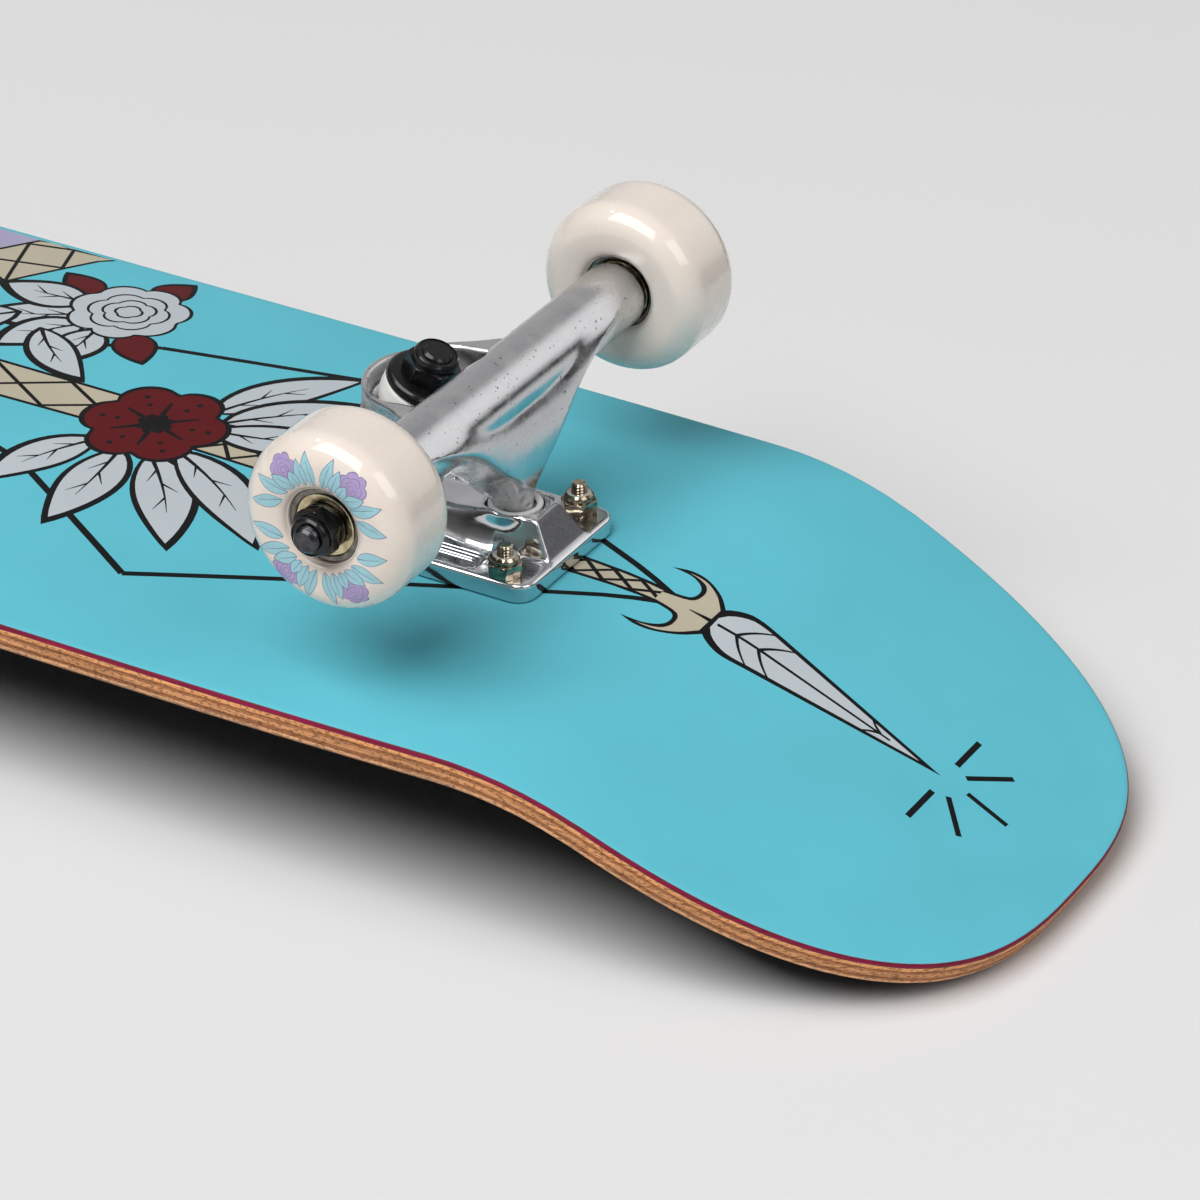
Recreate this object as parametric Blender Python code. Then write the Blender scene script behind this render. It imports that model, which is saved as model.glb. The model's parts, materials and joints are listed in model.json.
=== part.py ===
"""Skateboard with an 8 inch popsicle deck, lying wheels up on its nose and tail.

Units are metres, with shapes drawn in millimetres and scaled by MM. +X runs towards the tail, +Y across
the board and +Z up, away from the deck's graphic face. The origin is on the floor under the middle of
the board. "left" is the +Y side and "right" the -Y side.
"""
import math

import bmesh
import bpy
from mathutils import Matrix, Vector
from mathutils.geometry import delaunay_2d_cdt

MM = 0.001
INCH = 25.4
GAP = 0.3
MERGE = 1e-6

# deck (millimetres)
DECK_LENGTH = 32 * INCH
DECK_WIDTH = 204.0
DECK_THICKNESS = 9.7
GRIP_THICKNESS = 0.8
GRIP_INSET = 3.2
TOP_ROUND = 2.0
BOTTOM_ROUND = 3.6
TAIL_LENGTH = 172.0
WHEELBASE = 14 * INCH
KICK_START = 150.5
KICK_RADIUS = 124.0
KICK_ANGLE = math.radians(24.0)
CONCAVE_DROP = 4.4
CONCAVE_FLAT = 23.0
CONCAVE_POWER = 1.8
CONCAVE_FADE = 0.15
END_CURVE_LENGTH = 112.0
END_CURVE_ALONG = 2.6
END_CURVE_ACROSS = 2.85
WAIST_START = 244.0
WAIST_SPAN = 150.0
WAIST = 0.04

# mounting bolts
BOLT_SPACING_X = 2.125 * INCH
BOLT_SPACING_Y = 1.625 * INCH
BOLT_RADIUS = 2.35
BOLT_HEAD_RADIUS = 4.7
BOLT_HEAD_DEPTH = 2.9
BOLT_LENGTH = 25.0
BOLT_HOLE_RADIUS = 2.75
NUT_ACROSS_FLATS = 9.5
NUT_HEIGHT = 6.3

# truck, from the graphic face under the axle; its x runs outward, towards the deck's end
AXLE_HEIGHT = 52.0
AXLE_LENGTH = 8 * INCH
AXLE_RADIUS = 3.95
PATTERN_X = -12.8
PLATE_INNER_X = -54.5
PLATE_OUTER_X = 24.2
PLATE_HALF_WIDTH = 26.0
PLATE_THICKNESS = 6.0
PLATE_CORNER = 6.0
KINGPIN_FOOT_X = -40.7
KINGPIN_LEAN = math.radians(22.0)
KINGPIN_RADIUS = 4.7
SEAT_AT = 10.3
RING_FROM, RING_TO = 27.2, 39.4
RING_FLOOR = 33.6
RING_AT = 31.0
RING_RADIUS = 17.3
RING_BORE = 7.6
PIVOT_MOUTH = (4.8, 0.0, 16.4)
PIVOT_TILT = math.radians(35.0)
PIVOT_DEPTH = 6.8
BARREL_RADIUS = 10.0
HANGER_HALF = 66.1

# wheels
WHEEL_RADIUS = 26.5
WHEEL_MID = 79.4
WHEEL_WIDTH = 30.0
TREAD_WIDTH = 15.0
BEARING_RADIUS = 11.0
BEARING_BORE = 4.25
BEARING_WIDTH = 7.0
SPACER_LENGTH = 10.0


# ---------------------------------------------------------------- tools

def clear_scene():
    for obj in list(bpy.data.objects):
        bpy.data.objects.remove(obj)


def material(name, color, roughness, metallic=0.0):
    mat = bpy.data.materials.new(name)
    mat.use_nodes = True
    bsdf = mat.node_tree.nodes["Principled BSDF"]
    bsdf.inputs["Base Color"].default_value = (*color, 1.0)
    bsdf.inputs["Roughness"].default_value = roughness
    bsdf.inputs["Metallic"].default_value = metallic
    mat.diffuse_color = (*color, 1.0)
    return mat


def to_mesh(bm, name, mat):
    """Close a bmesh drawn in millimetres into a mesh in metres."""
    bmesh.ops.remove_doubles(bm, verts=bm.verts[:], dist=MERGE / MM)
    bmesh.ops.dissolve_degenerate(bm, dist=MERGE / MM, edges=bm.edges[:])
    bmesh.ops.recalc_face_normals(bm, faces=bm.faces[:])
    bmesh.ops.scale(bm, vec=(MM, MM, MM), verts=bm.verts[:])
    mesh = bpy.data.meshes.new(name)
    bm.to_mesh(mesh)
    bm.free()
    mesh.materials.append(mat)
    mesh.shade_smooth()
    mesh.set_sharp_from_angle(angle=math.radians(35))
    return mesh


def turned(name, profile, mat, steps=24):
    """Turn (radius, height) points about Z; the profile is a ring, or runs from axis to axis."""
    bm = bmesh.new()
    verts = [bm.verts.new((r, 0, z)) for r, z in profile]
    edges = [bm.edges.new(pair) for pair in zip(verts, verts[1:])]
    if profile[0][0] or profile[-1][0]:
        edges.append(bm.edges.new((verts[-1], verts[0])))
    bmesh.ops.spin(bm, geom=verts + edges, cent=(0, 0, 0), axis=(0, 0, 1), dvec=(0, 0, 0),
                   angle=2 * math.pi, steps=steps, use_merge=True)
    return to_mesh(bm, name, mat)


def hull(name, points, mat):
    bm = bmesh.new()
    for point in points:
        bm.verts.new(point)
    result = bmesh.ops.convex_hull(bm, input=bm.verts[:])
    loose = [item for item in result["geom_interior"] if isinstance(item, bmesh.types.BMVert)]
    bmesh.ops.delete(bm, geom=loose, context="VERTS")
    return to_mesh(bm, name, mat)


def prism(name, outline, low, high, mat, axis="Z"):
    """Extrude a flat (a, b) outline from low to high along an axis."""
    place = {"Z": lambda a, b, c: (a, b, c), "X": lambda a, b, c: (c, a, b)}[axis]
    bm = bmesh.new()
    face = bm.faces.new([bm.verts.new(place(a, b, low)) for a, b in outline])
    made = bmesh.ops.extrude_face_region(bm, geom=[face])["geom"]
    shift = Vector(place(0, 0, high - low))
    bmesh.ops.translate(bm, vec=shift, verts=[v for v in made if isinstance(v, bmesh.types.BMVert)])
    return to_mesh(bm, name, mat)


def ngon(radius, count, phase=0.0):
    return [(radius * math.cos(phase + 2 * math.pi * i / count),
             radius * math.sin(phase + 2 * math.pi * i / count)) for i in range(count)]


def rounded_rectangle(x0, x1, half_width, corner, steps=4):
    points = []
    for cx, cy, start in ((x1 - corner, half_width - corner, 0), (x0 + corner, half_width - corner, 90),
                          (x0 + corner, corner - half_width, 180), (x1 - corner, corner - half_width, 270)):
        for i in range(steps + 1):
            angle = math.radians(start + 90 * i / steps)
            points.append((cx + corner * math.cos(angle), cy + corner * math.sin(angle)))
    return points


def add(name, mesh, parent=None, place=Matrix()):
    obj = bpy.data.objects.new(name, mesh)
    bpy.context.scene.collection.objects.link(obj)
    obj.parent = parent
    obj.matrix_local = place
    return obj


def at(x, y, z):
    return Matrix.Translation((x * MM, y * MM, z * MM))


def carved(name, body, joined=(), removed=()):
    """Join and cut (mesh, place) pairs with exact Booleans, and return the finished mesh."""
    target = add(name, body)
    cutters = []
    for operation, pairs in (("UNION", joined), ("DIFFERENCE", removed)):
        for index, (mesh, place) in enumerate(pairs):
            cutter = add(f"{name}_{operation.lower()}_{index}", mesh, None, place)
            cutter.hide_render = True
            cutter.display_type = "WIRE"
            cutters.append(cutter)
            boolean = target.modifiers.new(cutter.name, "BOOLEAN")
            boolean.operation = operation
            boolean.solver = "EXACT"
            boolean.object = cutter
    bpy.context.view_layer.update()
    evaluated = target.evaluated_get(bpy.context.evaluated_depsgraph_get())
    mesh = bpy.data.meshes.new_from_object(evaluated)
    mesh.name = name
    for obj in [target, *cutters]:
        bpy.data.objects.remove(obj)
    bm = bmesh.new()
    bm.from_mesh(mesh)
    bmesh.ops.remove_doubles(bm, verts=bm.verts[:], dist=2e-6)
    bmesh.ops.dissolve_degenerate(bm, dist=2e-6, edges=bm.edges[:])
    bm.to_mesh(mesh)
    bm.free()
    mesh.materials.clear()
    mesh.materials.append(body.materials[0])
    mesh.shade_smooth()
    mesh.set_sharp_from_angle(angle=math.radians(35))
    return mesh


# ---------------------------------------------------------------- places

HALF_LENGTH = DECK_LENGTH / 2
TAIL_PATTERN_X = HALF_LENGTH - TAIL_LENGTH - BOLT_SPACING_X / 2
NOSE_PATTERN_X = TAIL_PATTERN_X - WHEELBASE - BOLT_SPACING_X
TAIL_AXLE_X = TAIL_PATTERN_X - PATTERN_X
NOSE_AXLE_X = NOSE_PATTERN_X + PATTERN_X
BEND_LENGTH = KICK_RADIUS * math.sin(KICK_ANGLE)
BEND_DROP = KICK_RADIUS * (1 - math.cos(KICK_ANGLE))
TIP_DROP = BEND_DROP + (KICK_START - BEND_LENGTH) * math.tan(KICK_ANGLE)
GRIP_DEPTH = DECK_THICKNESS + GAP + GRIP_THICKNESS
FACE_HEIGHT = TIP_DROP - GRIP_INSET * math.tan(KICK_ANGLE) + GRIP_DEPTH * math.cos(KICK_ANGLE)


def kingpin_point(along, across=0.0):
    """A point on the kingpin's axis, measured from the top of the baseplate's flange."""
    sine, cosine = math.sin(KINGPIN_LEAN), math.cos(KINGPIN_LEAN)
    return Vector((KINGPIN_FOOT_X + along * sine, across, PLATE_THICKNESS + along * cosine))


def kingpin_place(along=0.0):
    return Matrix.Translation(kingpin_point(along) * MM) @ Matrix.Rotation(KINGPIN_LEAN, 4, "Y")


def pivot_place():
    """Z runs out of the pivot cup's mouth."""
    return Matrix.Translation(Vector(PIVOT_MOUTH) * MM) @ Matrix.Rotation(-PIVOT_TILT, 4, "Y")


def pivot_centre():
    return Vector(PIVOT_MOUTH) + PIVOT_DEPTH * Vector((math.sin(PIVOT_TILT), 0, -math.cos(PIVOT_TILT)))


# ---------------------------------------------------------------- deck

def kick_profile(x):
    """Height and slope of the graphic face's centre line at x."""
    run = abs(x) - (HALF_LENGTH - KICK_START)
    side = math.copysign(1, x)
    if run <= 0:
        return FACE_HEIGHT, 0.0
    if run < BEND_LENGTH:
        angle = math.asin(run / KICK_RADIUS)
        return FACE_HEIGHT - KICK_RADIUS * (1 - math.cos(angle)), -side * math.tan(angle)
    drop = BEND_DROP + (run - BEND_LENGTH) * math.tan(KICK_ANGLE)
    return FACE_HEIGHT - drop, -side * math.tan(KICK_ANGLE)


def concave(x, y):
    """How far the face falls away from its flat middle towards the rails."""
    rise = max(0.0, (abs(y) - CONCAVE_FLAT) / (DECK_WIDTH / 2 - CONCAVE_FLAT))
    fade = max(0.0, 1 - (HALF_LENGTH - abs(x)) / KICK_START)
    return CONCAVE_DROP * (1 - CONCAVE_FADE * fade) * rise ** CONCAVE_POWER


def half_width(x):
    from_tip = HALF_LENGTH - abs(x)
    end = min(1.0, max(0.0, 1 - from_tip / END_CURVE_LENGTH))
    waist = 1 - WAIST * (max(0.0, WAIST_START - from_tip) / WAIST_SPAN) ** 2
    return DECK_WIDTH / 2 * waist * (1 - end ** END_CURVE_ALONG) ** (1 / END_CURVE_ACROSS)


def deck_point(x, y, depth):
    """The point under (x, y) of the graphic face, depth millimetres into the wood."""
    height, slope = kick_profile(x)
    normal = Vector((-slope, 0, 1)).normalized()
    return Vector((x, y, height - concave(x, y))) - depth * normal


def deck_outline(end_steps=10, rail_steps=3):
    """The plan outline, anticlockwise, dense where the ends turn."""
    curve = [HALF_LENGTH - END_CURVE_LENGTH * (1 - math.sin(math.pi / 2 * i / end_steps) ** 0.8)
             for i in range(end_steps + 1)]
    middle = HALF_LENGTH - KICK_START
    rail = [curve[0] * i / rail_steps for i in range(rail_steps)]
    rail.append(middle)
    quarter = [(x, half_width(x)) for x in sorted(rail) + curve]
    quarter[-1] = (HALF_LENGTH, 0.0)
    upper = quarter[::-1] + [(-x, y) for x, y in quarter[1:]]
    return upper + [(x, -y) for x, y in upper[-2:0:-1]]


def inset(outline, distance):
    """Move a closed anticlockwise outline inwards."""
    points = []
    count = len(outline)
    for i, (x, y) in enumerate(outline):
        before = Vector(outline[i - 1])
        after = Vector(outline[(i + 1) % count])
        along = (after - before).normalized()
        points.append((x - along.y * distance, y + along.x * distance))
    return points


def plan_grid(outline, margin):
    """Points inside the outline, in columns along the board and rows across its bends."""
    columns = [CONCAVE_FLAT, 45.0, 66.0, 85.0]
    bend = [HALF_LENGTH - KICK_START + BEND_LENGTH * i / 5 for i in range(6)]
    kick = [HALF_LENGTH - 60.0, HALF_LENGTH - 25.0]
    rows = [75.0, 165.0] + bend + kick
    points = []
    for x in sorted({sign * row for row in rows for sign in (1, -1)}):
        for y in sorted({sign * column for column in columns for sign in (1, -1)}):
            nearest = min(math.dist((x, y), corner) for corner in outline)
            if abs(y) < half_width(x) - margin and nearest > margin:
                points.append((x, y))
    return points


def board(name, rings, mat):
    """A curved plate: rings are (inset, depth) loops from its top face round to its bottom face."""
    outline = deck_outline()
    count = len(outline)
    bm = bmesh.new()
    loops = []
    for distance, depth in rings:
        loops.append([bm.verts.new(deck_point(x, y, depth)) for x, y in inset(outline, distance)])
    for upper, lower in zip(loops, loops[1:]):
        for i in range(count):
            j = (i + 1) % count
            bm.faces.new((upper[i], lower[i], lower[j], upper[j]))
    for loop, (distance, depth), flip in ((loops[0], rings[0], False), (loops[-1], rings[-1], True)):
        rim = inset(outline, distance)
        plan = [Vector(p) for p in rim + plan_grid(rim, 5.0)]
        edges = [(i, (i + 1) % count) for i in range(count)]
        points, _, faces, origins, _, _ = delaunay_2d_cdt(plan, edges, [], 1, 1e-4)
        verts = []
        for point, source in zip(points, origins):
            on_rim = source and source[0] < count
            verts.append(loop[source[0]] if on_rim else bm.verts.new(deck_point(*point, depth)))
        for face in faces:
            corners = [verts[i] for i in (reversed(face) if flip else face)]
            bm.faces.new(corners)
    return to_mesh(bm, name, mat)


def bolt_places():
    """Each mounting hole's truck, number and place on the graphic face."""
    for truck, centre in (("tail", TAIL_PATTERN_X), ("nose", NOSE_PATTERN_X)):
        corners = [(i, j) for i in (1, -1) for j in (1, -1)]
        for number, (i, j) in enumerate(corners, 1):
            yield truck, number, centre + i * BOLT_SPACING_X / 2, j * BOLT_SPACING_Y / 2


def build_deck():
    maple = material("deck_blue_maple", (0.13, 0.49, 0.60), 0.30)
    grip = material("grip_tape_black", (0.015, 0.015, 0.016), 0.92)
    bottom = DECK_THICKNESS
    rings = [(TOP_ROUND, 0), (0.6, 0.6), (0, TOP_ROUND), (0, bottom - BOTTOM_ROUND),
             (1.1, bottom - 1.1), (BOTTOM_ROUND, bottom)]
    shaft = turned("hole", [(0, 40), (BOLT_HOLE_RADIUS, 40), (BOLT_HOLE_RADIUS, -40), (0, -40)], maple, 12)
    cone_top = BOLT_HEAD_DEPTH + 0.5
    cone = turned("countersink", [(0, cone_top), (BOLT_HOLE_RADIUS, cone_top),
                                  (BOLT_HEAD_RADIUS + 0.5, 0.2), (BOLT_HEAD_RADIUS + 0.5, -9), (0, -9)],
                  maple, 12)
    head_level = FACE_HEIGHT - GRIP_DEPTH
    holes = [(shaft, at(x, y, FACE_HEIGHT)) for _, _, x, y in bolt_places()]
    sinks = [(cone, at(x, y, head_level)) for _, _, x, y in bolt_places()]
    deck = carved("deck", board("deck_plate", rings, maple), removed=holes + sinks)
    add("deck", deck)
    sheet = board("grip_sheet", [(GRIP_INSET, DECK_THICKNESS + GAP), (GRIP_INSET, GRIP_DEPTH)], grip)
    add("grip_tape", carved("grip_tape", sheet, removed=sinks))


def build_mounting_hardware():
    nickel = material("hardware_nickel", (0.55, 0.50, 0.42), 0.25, 1.0)
    tip = BOLT_LENGTH
    bolt = turned("mounting_bolt", [(0, tip), (BOLT_RADIUS - 0.6, tip), (BOLT_RADIUS, tip - 0.7),
                                    (BOLT_RADIUS, BOLT_HEAD_DEPTH), (BOLT_HEAD_RADIUS, 0), (0, 0)],
                  nickel, 10)
    nut = lock_nut("mounting_nut", NUT_ACROSS_FLATS, NUT_HEIGHT, BOLT_RADIUS + GAP, nickel)
    head_level = FACE_HEIGHT - GRIP_DEPTH
    for truck, number, x, y in bolt_places():
        add(f"mounting_bolt_{truck}_{number}", bolt, None, at(x, y, head_level))
        add(f"mounting_nut_{truck}_{number}", nut, None, at(x, y, FACE_HEIGHT + PLATE_THICKNESS + GAP))


def lock_nut(name, across_flats, height, bore, mat):
    """A hexagon with a round nylon collar on top, bored through."""
    corner = across_flats / 2 / math.cos(math.pi / 6)
    collar = across_flats / 2 * 0.94
    hexagon = prism(name + "_hexagon", ngon(corner, 6), 0, height * 0.72, mat)
    rim = turned(name + "_collar", [(0, height), (collar - 0.7, height), (collar, height - 0.7),
                                    (collar, height * 0.5), (0, height * 0.5)], mat, 12)
    drill = turned(name + "_drill", [(0, height + 5), (bore, height + 5), (bore, -5), (0, -5)], mat, 12)
    return carved(name, hexagon, [(rim, Matrix())], [(drill, Matrix())])


# ---------------------------------------------------------------- truck

def build_baseplate():
    metal = material("baseplate_aluminium", (0.62, 0.63, 0.65), 0.12, 1.0)
    outline = rounded_rectangle(PLATE_INNER_X, PLATE_OUTER_X, PLATE_HALF_WIDTH, PLATE_CORNER)
    flange = prism("flange", outline, GAP, PLATE_THICKNESS, metal)
    low = PLATE_THICKNESS - 1.0
    top = PIVOT_MOUTH[2]
    block = hull("pivot_block", [(22.8, 11, low), (22.8, -11, low), (-20, 14, low), (-20, -14, low),
                                 (15.6, 6.3, top), (15.6, -6.3, top), (9, 9, top), (9, -9, top),
                                 (-3, 9, top), (-3, -9, top), (-9, 6, top - 3), (-9, -6, top - 3)], metal)
    seat = [kingpin_point(SEAT_AT + 1) + Vector((a * math.cos(KINGPIN_LEAN), b, -a * math.sin(KINGPIN_LEAN)))
            for a, b in ngon(14.0, 14)]
    foot = [(KINGPIN_FOOT_X + 4 + a, b, low) for a, b in ngon(14.3, 14)]
    boss = hull("kingpin_boss", seat + foot, metal)
    rib = hull("rib", [(-34, 7, low), (-34, -7, low), (0, 9, low), (0, -9, low),
                       (-30, 3, 14), (-30, -3, 14), (-4, 4, 13), (-4, -4, 13)], metal)
    drill = turned("drill", [(0, 30), (BOLT_HOLE_RADIUS, 30), (BOLT_HOLE_RADIUS, -5), (0, -5)], metal, 12)
    shank = turned("shank", [(0, 40), (KINGPIN_RADIUS + GAP, 40), (KINGPIN_RADIUS + GAP, 0), (0, 0)],
                   metal, 16)
    recess = turned("recess", [(0, 2.6), (7.5, 2.6), (7.5, -14), (0, -14)], metal, 16)
    relief = turned("relief", [(0, 40), (15.0, 40), (15.0, SEAT_AT), (0, SEAT_AT)], metal, 20)
    pocket = turned("pocket", [(0, 9), (7.8, 9), (7.8, -4.0), (6.4, -11.3), (0, -11.3)], metal, 20)
    holes = [(drill, at(PATTERN_X + i * BOLT_SPACING_X / 2, j * BOLT_SPACING_Y / 2, 0))
             for i in (1, -1) for j in (1, -1)]
    cuts = holes + [(shank, kingpin_place(-1)), (recess, kingpin_place()), (relief, kingpin_place()),
                    (pocket, pivot_place())]
    joined = [(rib, Matrix()), (block, Matrix()), (boss, Matrix())]
    return carved("baseplate", flange, joined, cuts)


def build_pivot_cup():
    white = material("pivot_cup_white", (0.80, 0.80, 0.78), 0.35)
    profile = [(0, -9.8), (4.0, -9.2), (6.0, -6.4), (6.0, 0.0), (7.4, 0.0), (7.4, -4.2), (6.1, -11.0),
               (0, -11.0)]
    return turned("pivot_cup", profile, white, 18)


def build_kingpin_stack():
    """The kingpin with its bushings, washers and nut, each drawn about the kingpin's axis."""
    black = material("kingpin_black", (0.02, 0.02, 0.022), 0.18, 0.6)
    white = material("bushing_white", (0.78, 0.77, 0.74), 0.35)
    tip = 56.3
    kingpin = turned("kingpin", [(0, tip), (KINGPIN_RADIUS - 0.8, tip), (KINGPIN_RADIUS, tip - 0.9),
                                 (KINGPIN_RADIUS, 2.3), (7.1, 2.3), (7.1, -2.6), (0, -2.6)], black, 16)
    bore = KINGPIN_RADIUS + GAP
    seat = SEAT_AT + GAP

    def cup_washer(name, low, high, radius, lip):
        """A dished washer: a flat floor with a lip that holds the bushing."""
        return turned(name, [(bore, low), (radius, low), (radius, high + lip), (radius - 1.1, high + lip),
                             (radius - 1.1, high), (bore, high)][::-1], black, 18)

    bottom_washer = cup_washer("bottom_washer", seat, seat + 1.5, 13.6, 1.6)
    bottom_bushing = turned("bottom_bushing", [(bore, seat + 1.8), (12.0, seat + 1.8), (12.0, 21.0),
                                               (9.9, RING_FROM - GAP), (bore, RING_FROM - GAP)][::-1],
                            white, 18)
    base = RING_FLOOR + GAP
    top_bushing = turned("top_bushing", [(bore, base), (9.9, base), (11.7, 36.4), (11.7, 42.0),
                                         (10.0, 43.5), (10.0, 45.2), (bore, 45.2)][::-1], white, 18)
    top_washer = turned("top_washer", [(bore, 45.5), (10.4, 45.5), (10.4, 43.9), (11.9, 43.9),
                                       (11.9, 46.2), (10.6, 47.2), (bore, 47.2)][::-1], black, 18)
    nut = lock_nut("kingpin_nut", 14.2, 7.6, bore, black)
    return {"kingpin": (kingpin, 0), "bottom_washer": (bottom_washer, 0), "top_washer": (top_washer, 0),
            "bottom_bushing": (bottom_bushing, 0), "top_bushing": (top_bushing, 0),
            "kingpin_nut": (nut, 47.5)}


def build_hanger():
    """Barrel, gusset, pivot nose, arms and ring, cast in one piece."""
    cast = material("hanger_aluminium", (0.55, 0.55, 0.56), 0.28, 1.0)
    half = HANGER_HALF
    barrel = turned("barrel", [(0, half), (9.2, half), (BARREL_RADIUS, half - 0.8),
                               (BARREL_RADIUS, 0.8 - half), (9.2, -half), (0, -half)], cast, 20)
    z = AXLE_HEIGHT
    gusset_parts = []
    for side in (1, -1):
        points = [(-3.5, side * 44, z - 4), (3.5, side * 44, z - 4), (-8, 0, z), (9.5, 0, z),
                  (8.5, side * 22, z - 5), (-4, side * 22, z - 8), (9.6, side * 5.5, 26), (1, side * 5.5, 26),
                  (9.6, 0, 26), (1, 0, 26), (9.5, side * 14, 38), (0.5, side * 14, 38)]
        gusset_parts.append((hull(f"gusset_{side}", points, cast), Matrix()))
    neck = turned("pivot_nose", [(0, 17), (5.4, 17), (5.0, 6), (4.7, -4.6), (3.3, -7.6), (0, -8.8)],
                  cast, 14)
    ring = turned("ring", [(0, RING_TO), (RING_RADIUS - 0.8, RING_TO), (RING_RADIUS, RING_TO - 1),
                           (RING_RADIUS, RING_FROM + 2), (RING_RADIUS - 1.6, RING_FROM), (0, RING_FROM)],
                  cast, 22)
    arms = []
    sideways = Vector((math.cos(KINGPIN_LEAN), 0, -math.sin(KINGPIN_LEAN)))
    for side in (1, -1):
        points = [kingpin_point(along, side * out) + back * sideways
                  for along in (RING_FROM + 1.4, RING_TO - 0.6) for back, out in ((-6, 16.3), (8, 12.0))]
        points += [(-8.2, side * 31, z + 1), (2, side * 31, z - 4), (-6.0, side * 6, z - 7),
                   (-6.5, side * 21, z + 6), (2, side * 6, z)]
        arms.append((hull(f"arm_{side}", points, cast), Matrix()))
    axle_hole = turned("axle_hole", [(0, 80), (AXLE_RADIUS + GAP, 80), (AXLE_RADIUS + GAP, -80), (0, -80)],
                       cast, 16)
    ring_hole = turned("ring_hole", [(0, 62), (16.6, 62), (16.2, 47), (13.6, RING_FLOOR),
                                     (RING_BORE, RING_FLOOR), (RING_BORE, 10), (0, 10)], cast, 20)
    ring.transform(kingpin_place())
    yoke = carved("yoke", ring, arms, [(ring_hole, kingpin_place())])
    joined = [(yoke, Matrix())] + gusset_parts + [(neck, pivot_place())]
    on_axle = at(0, 0, z) @ Matrix.Rotation(math.pi / 2, 4, "X")
    barrel.transform(on_axle)
    return carved("hanger", barrel, joined, [(axle_hole, on_axle)])


def build_trucks():
    meshes = {"baseplate": (build_baseplate(), Matrix()),
              "pivot_cup": (build_pivot_cup(), pivot_place())}
    for name, (mesh, along) in build_kingpin_stack().items():
        meshes[name] = (mesh, kingpin_place(along))
    hanger = build_hanger()
    steel = material("axle_steel", (0.30, 0.30, 0.31), 0.3, 1.0)
    half = AXLE_LENGTH / 2
    axle = turned("axle", [(0, half), (AXLE_RADIUS - 0.8, half), (AXLE_RADIUS, half - 0.8),
                           (AXLE_RADIUS, 0.8 - half), (AXLE_RADIUS - 0.8, -half), (0, -half)], steel, 14)
    trucks = {}
    for truck, axle_x, turn in (("tail", TAIL_AXLE_X, 0), ("nose", NOSE_AXLE_X, math.pi)):
        base = add(f"truck_{truck}_frame", None, None, at(axle_x, 0, FACE_HEIGHT)
                   @ Matrix.Rotation(turn, 4, "Z"))
        for name, (mesh, place) in meshes.items():
            add(f"{name}_{truck}", mesh, base, place)
        pivot = pivot_centre()
        steer = add(f"truck_{truck}_steer", None, base, at(*pivot))
        back = at(-pivot.x, -pivot.y, -pivot.z)
        add(f"hanger_{truck}", hanger, steer, back)
        across = Matrix.Rotation(math.pi / 2, 4, "X")
        add(f"axle_{truck}", axle, steer, back @ at(0, 0, AXLE_HEIGHT) @ across)
        trucks[truck] = (steer, back)
    return trucks


# ---------------------------------------------------------------- wheels

def wheel_profile():
    """Half section of the wheel as (radius, distance outward), closed round its bearing seats."""
    half = WHEEL_WIDTH / 2
    tread = TREAD_WIDTH / 2
    seat = SPACER_LENGTH / 2
    pocket = BEARING_RADIUS + GAP
    outer = [(pocket, half - 2), (pocket + 2, half), (WHEEL_RADIUS - 7.5, half),
             (WHEEL_RADIUS - 2.0, tread + 3.2), (WHEEL_RADIUS, tread)]
    inner = [(r, -d) for r, d in outer[::-1]]
    return outer + inner + [(pocket, -seat - GAP), (8.6, -seat - GAP), (8.6, seat + GAP), (pocket, seat + GAP)]


def build_wheels(trucks):
    urethane = material("wheel_urethane", (0.83, 0.77, 0.68), 0.28)
    steel = material("bearing_steel", (0.42, 0.35, 0.24), 0.3, 1.0)
    black = material("axle_nut_black", (0.02, 0.02, 0.022), 0.25, 0.6)
    seat = SPACER_LENGTH / 2 + GAP
    wide = BEARING_WIDTH - GAP
    wheel = turned("wheel", wheel_profile(), urethane, 24)
    bearing = turned("bearing", [(BEARING_BORE, seat), (BEARING_RADIUS, seat),
                                 (BEARING_RADIUS, seat + wide), (BEARING_BORE, seat + wide)][::-1], steel, 16)
    spacer = turned("bearing_spacer", [(BEARING_BORE, -seat + GAP), (6.4, -seat + GAP), (6.4, seat - GAP),
                                       (BEARING_BORE, seat - GAP)][::-1], steel, 14)
    nut = lock_nut("axle_nut", 12.7, 6.6, AXLE_RADIUS + GAP, black)
    for truck, (steer, back) in trucks.items():
        for side, sign in (("left", 1), ("right", -1)):
            outward = Matrix.Rotation(-sign * math.pi / 2, 4, "X")
            hub = back @ at(0, sign * WHEEL_MID, AXLE_HEIGHT) @ outward
            frame = add(f"wheel_{truck}_{side}_frame", None, steer, hub)
            end = f"{truck}_{side}"
            add(f"wheel_{end}", wheel, frame)
            add(f"bearing_outer_{end}", bearing, frame)
            add(f"bearing_inner_{end}", bearing, frame, Matrix.Rotation(math.pi, 4, "X"))
            add(f"bearing_spacer_{end}", spacer, frame)
            add(f"axle_nut_{end}", nut, frame, at(0, 0, seat + wide + 1.4))


clear_scene()
build_deck()
truck_frames = build_trucks()
build_mounting_hardware()
build_wheels(truck_frames)
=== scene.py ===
"""Looks of the skateboard: printed deck, cast trucks, urethane wheels and hardware, in a pale studio.

Shapes are drawn in millimetres (MM scales them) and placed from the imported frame. A truck's own
coordinates start on the graphic face under its axle, with x outward, towards the deck's end.
"""
import json
import math

import bmesh
import bpy
import numpy as np
from mathutils import Matrix, Vector
from mathutils.geometry import delaunay_2d_cdt


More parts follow.
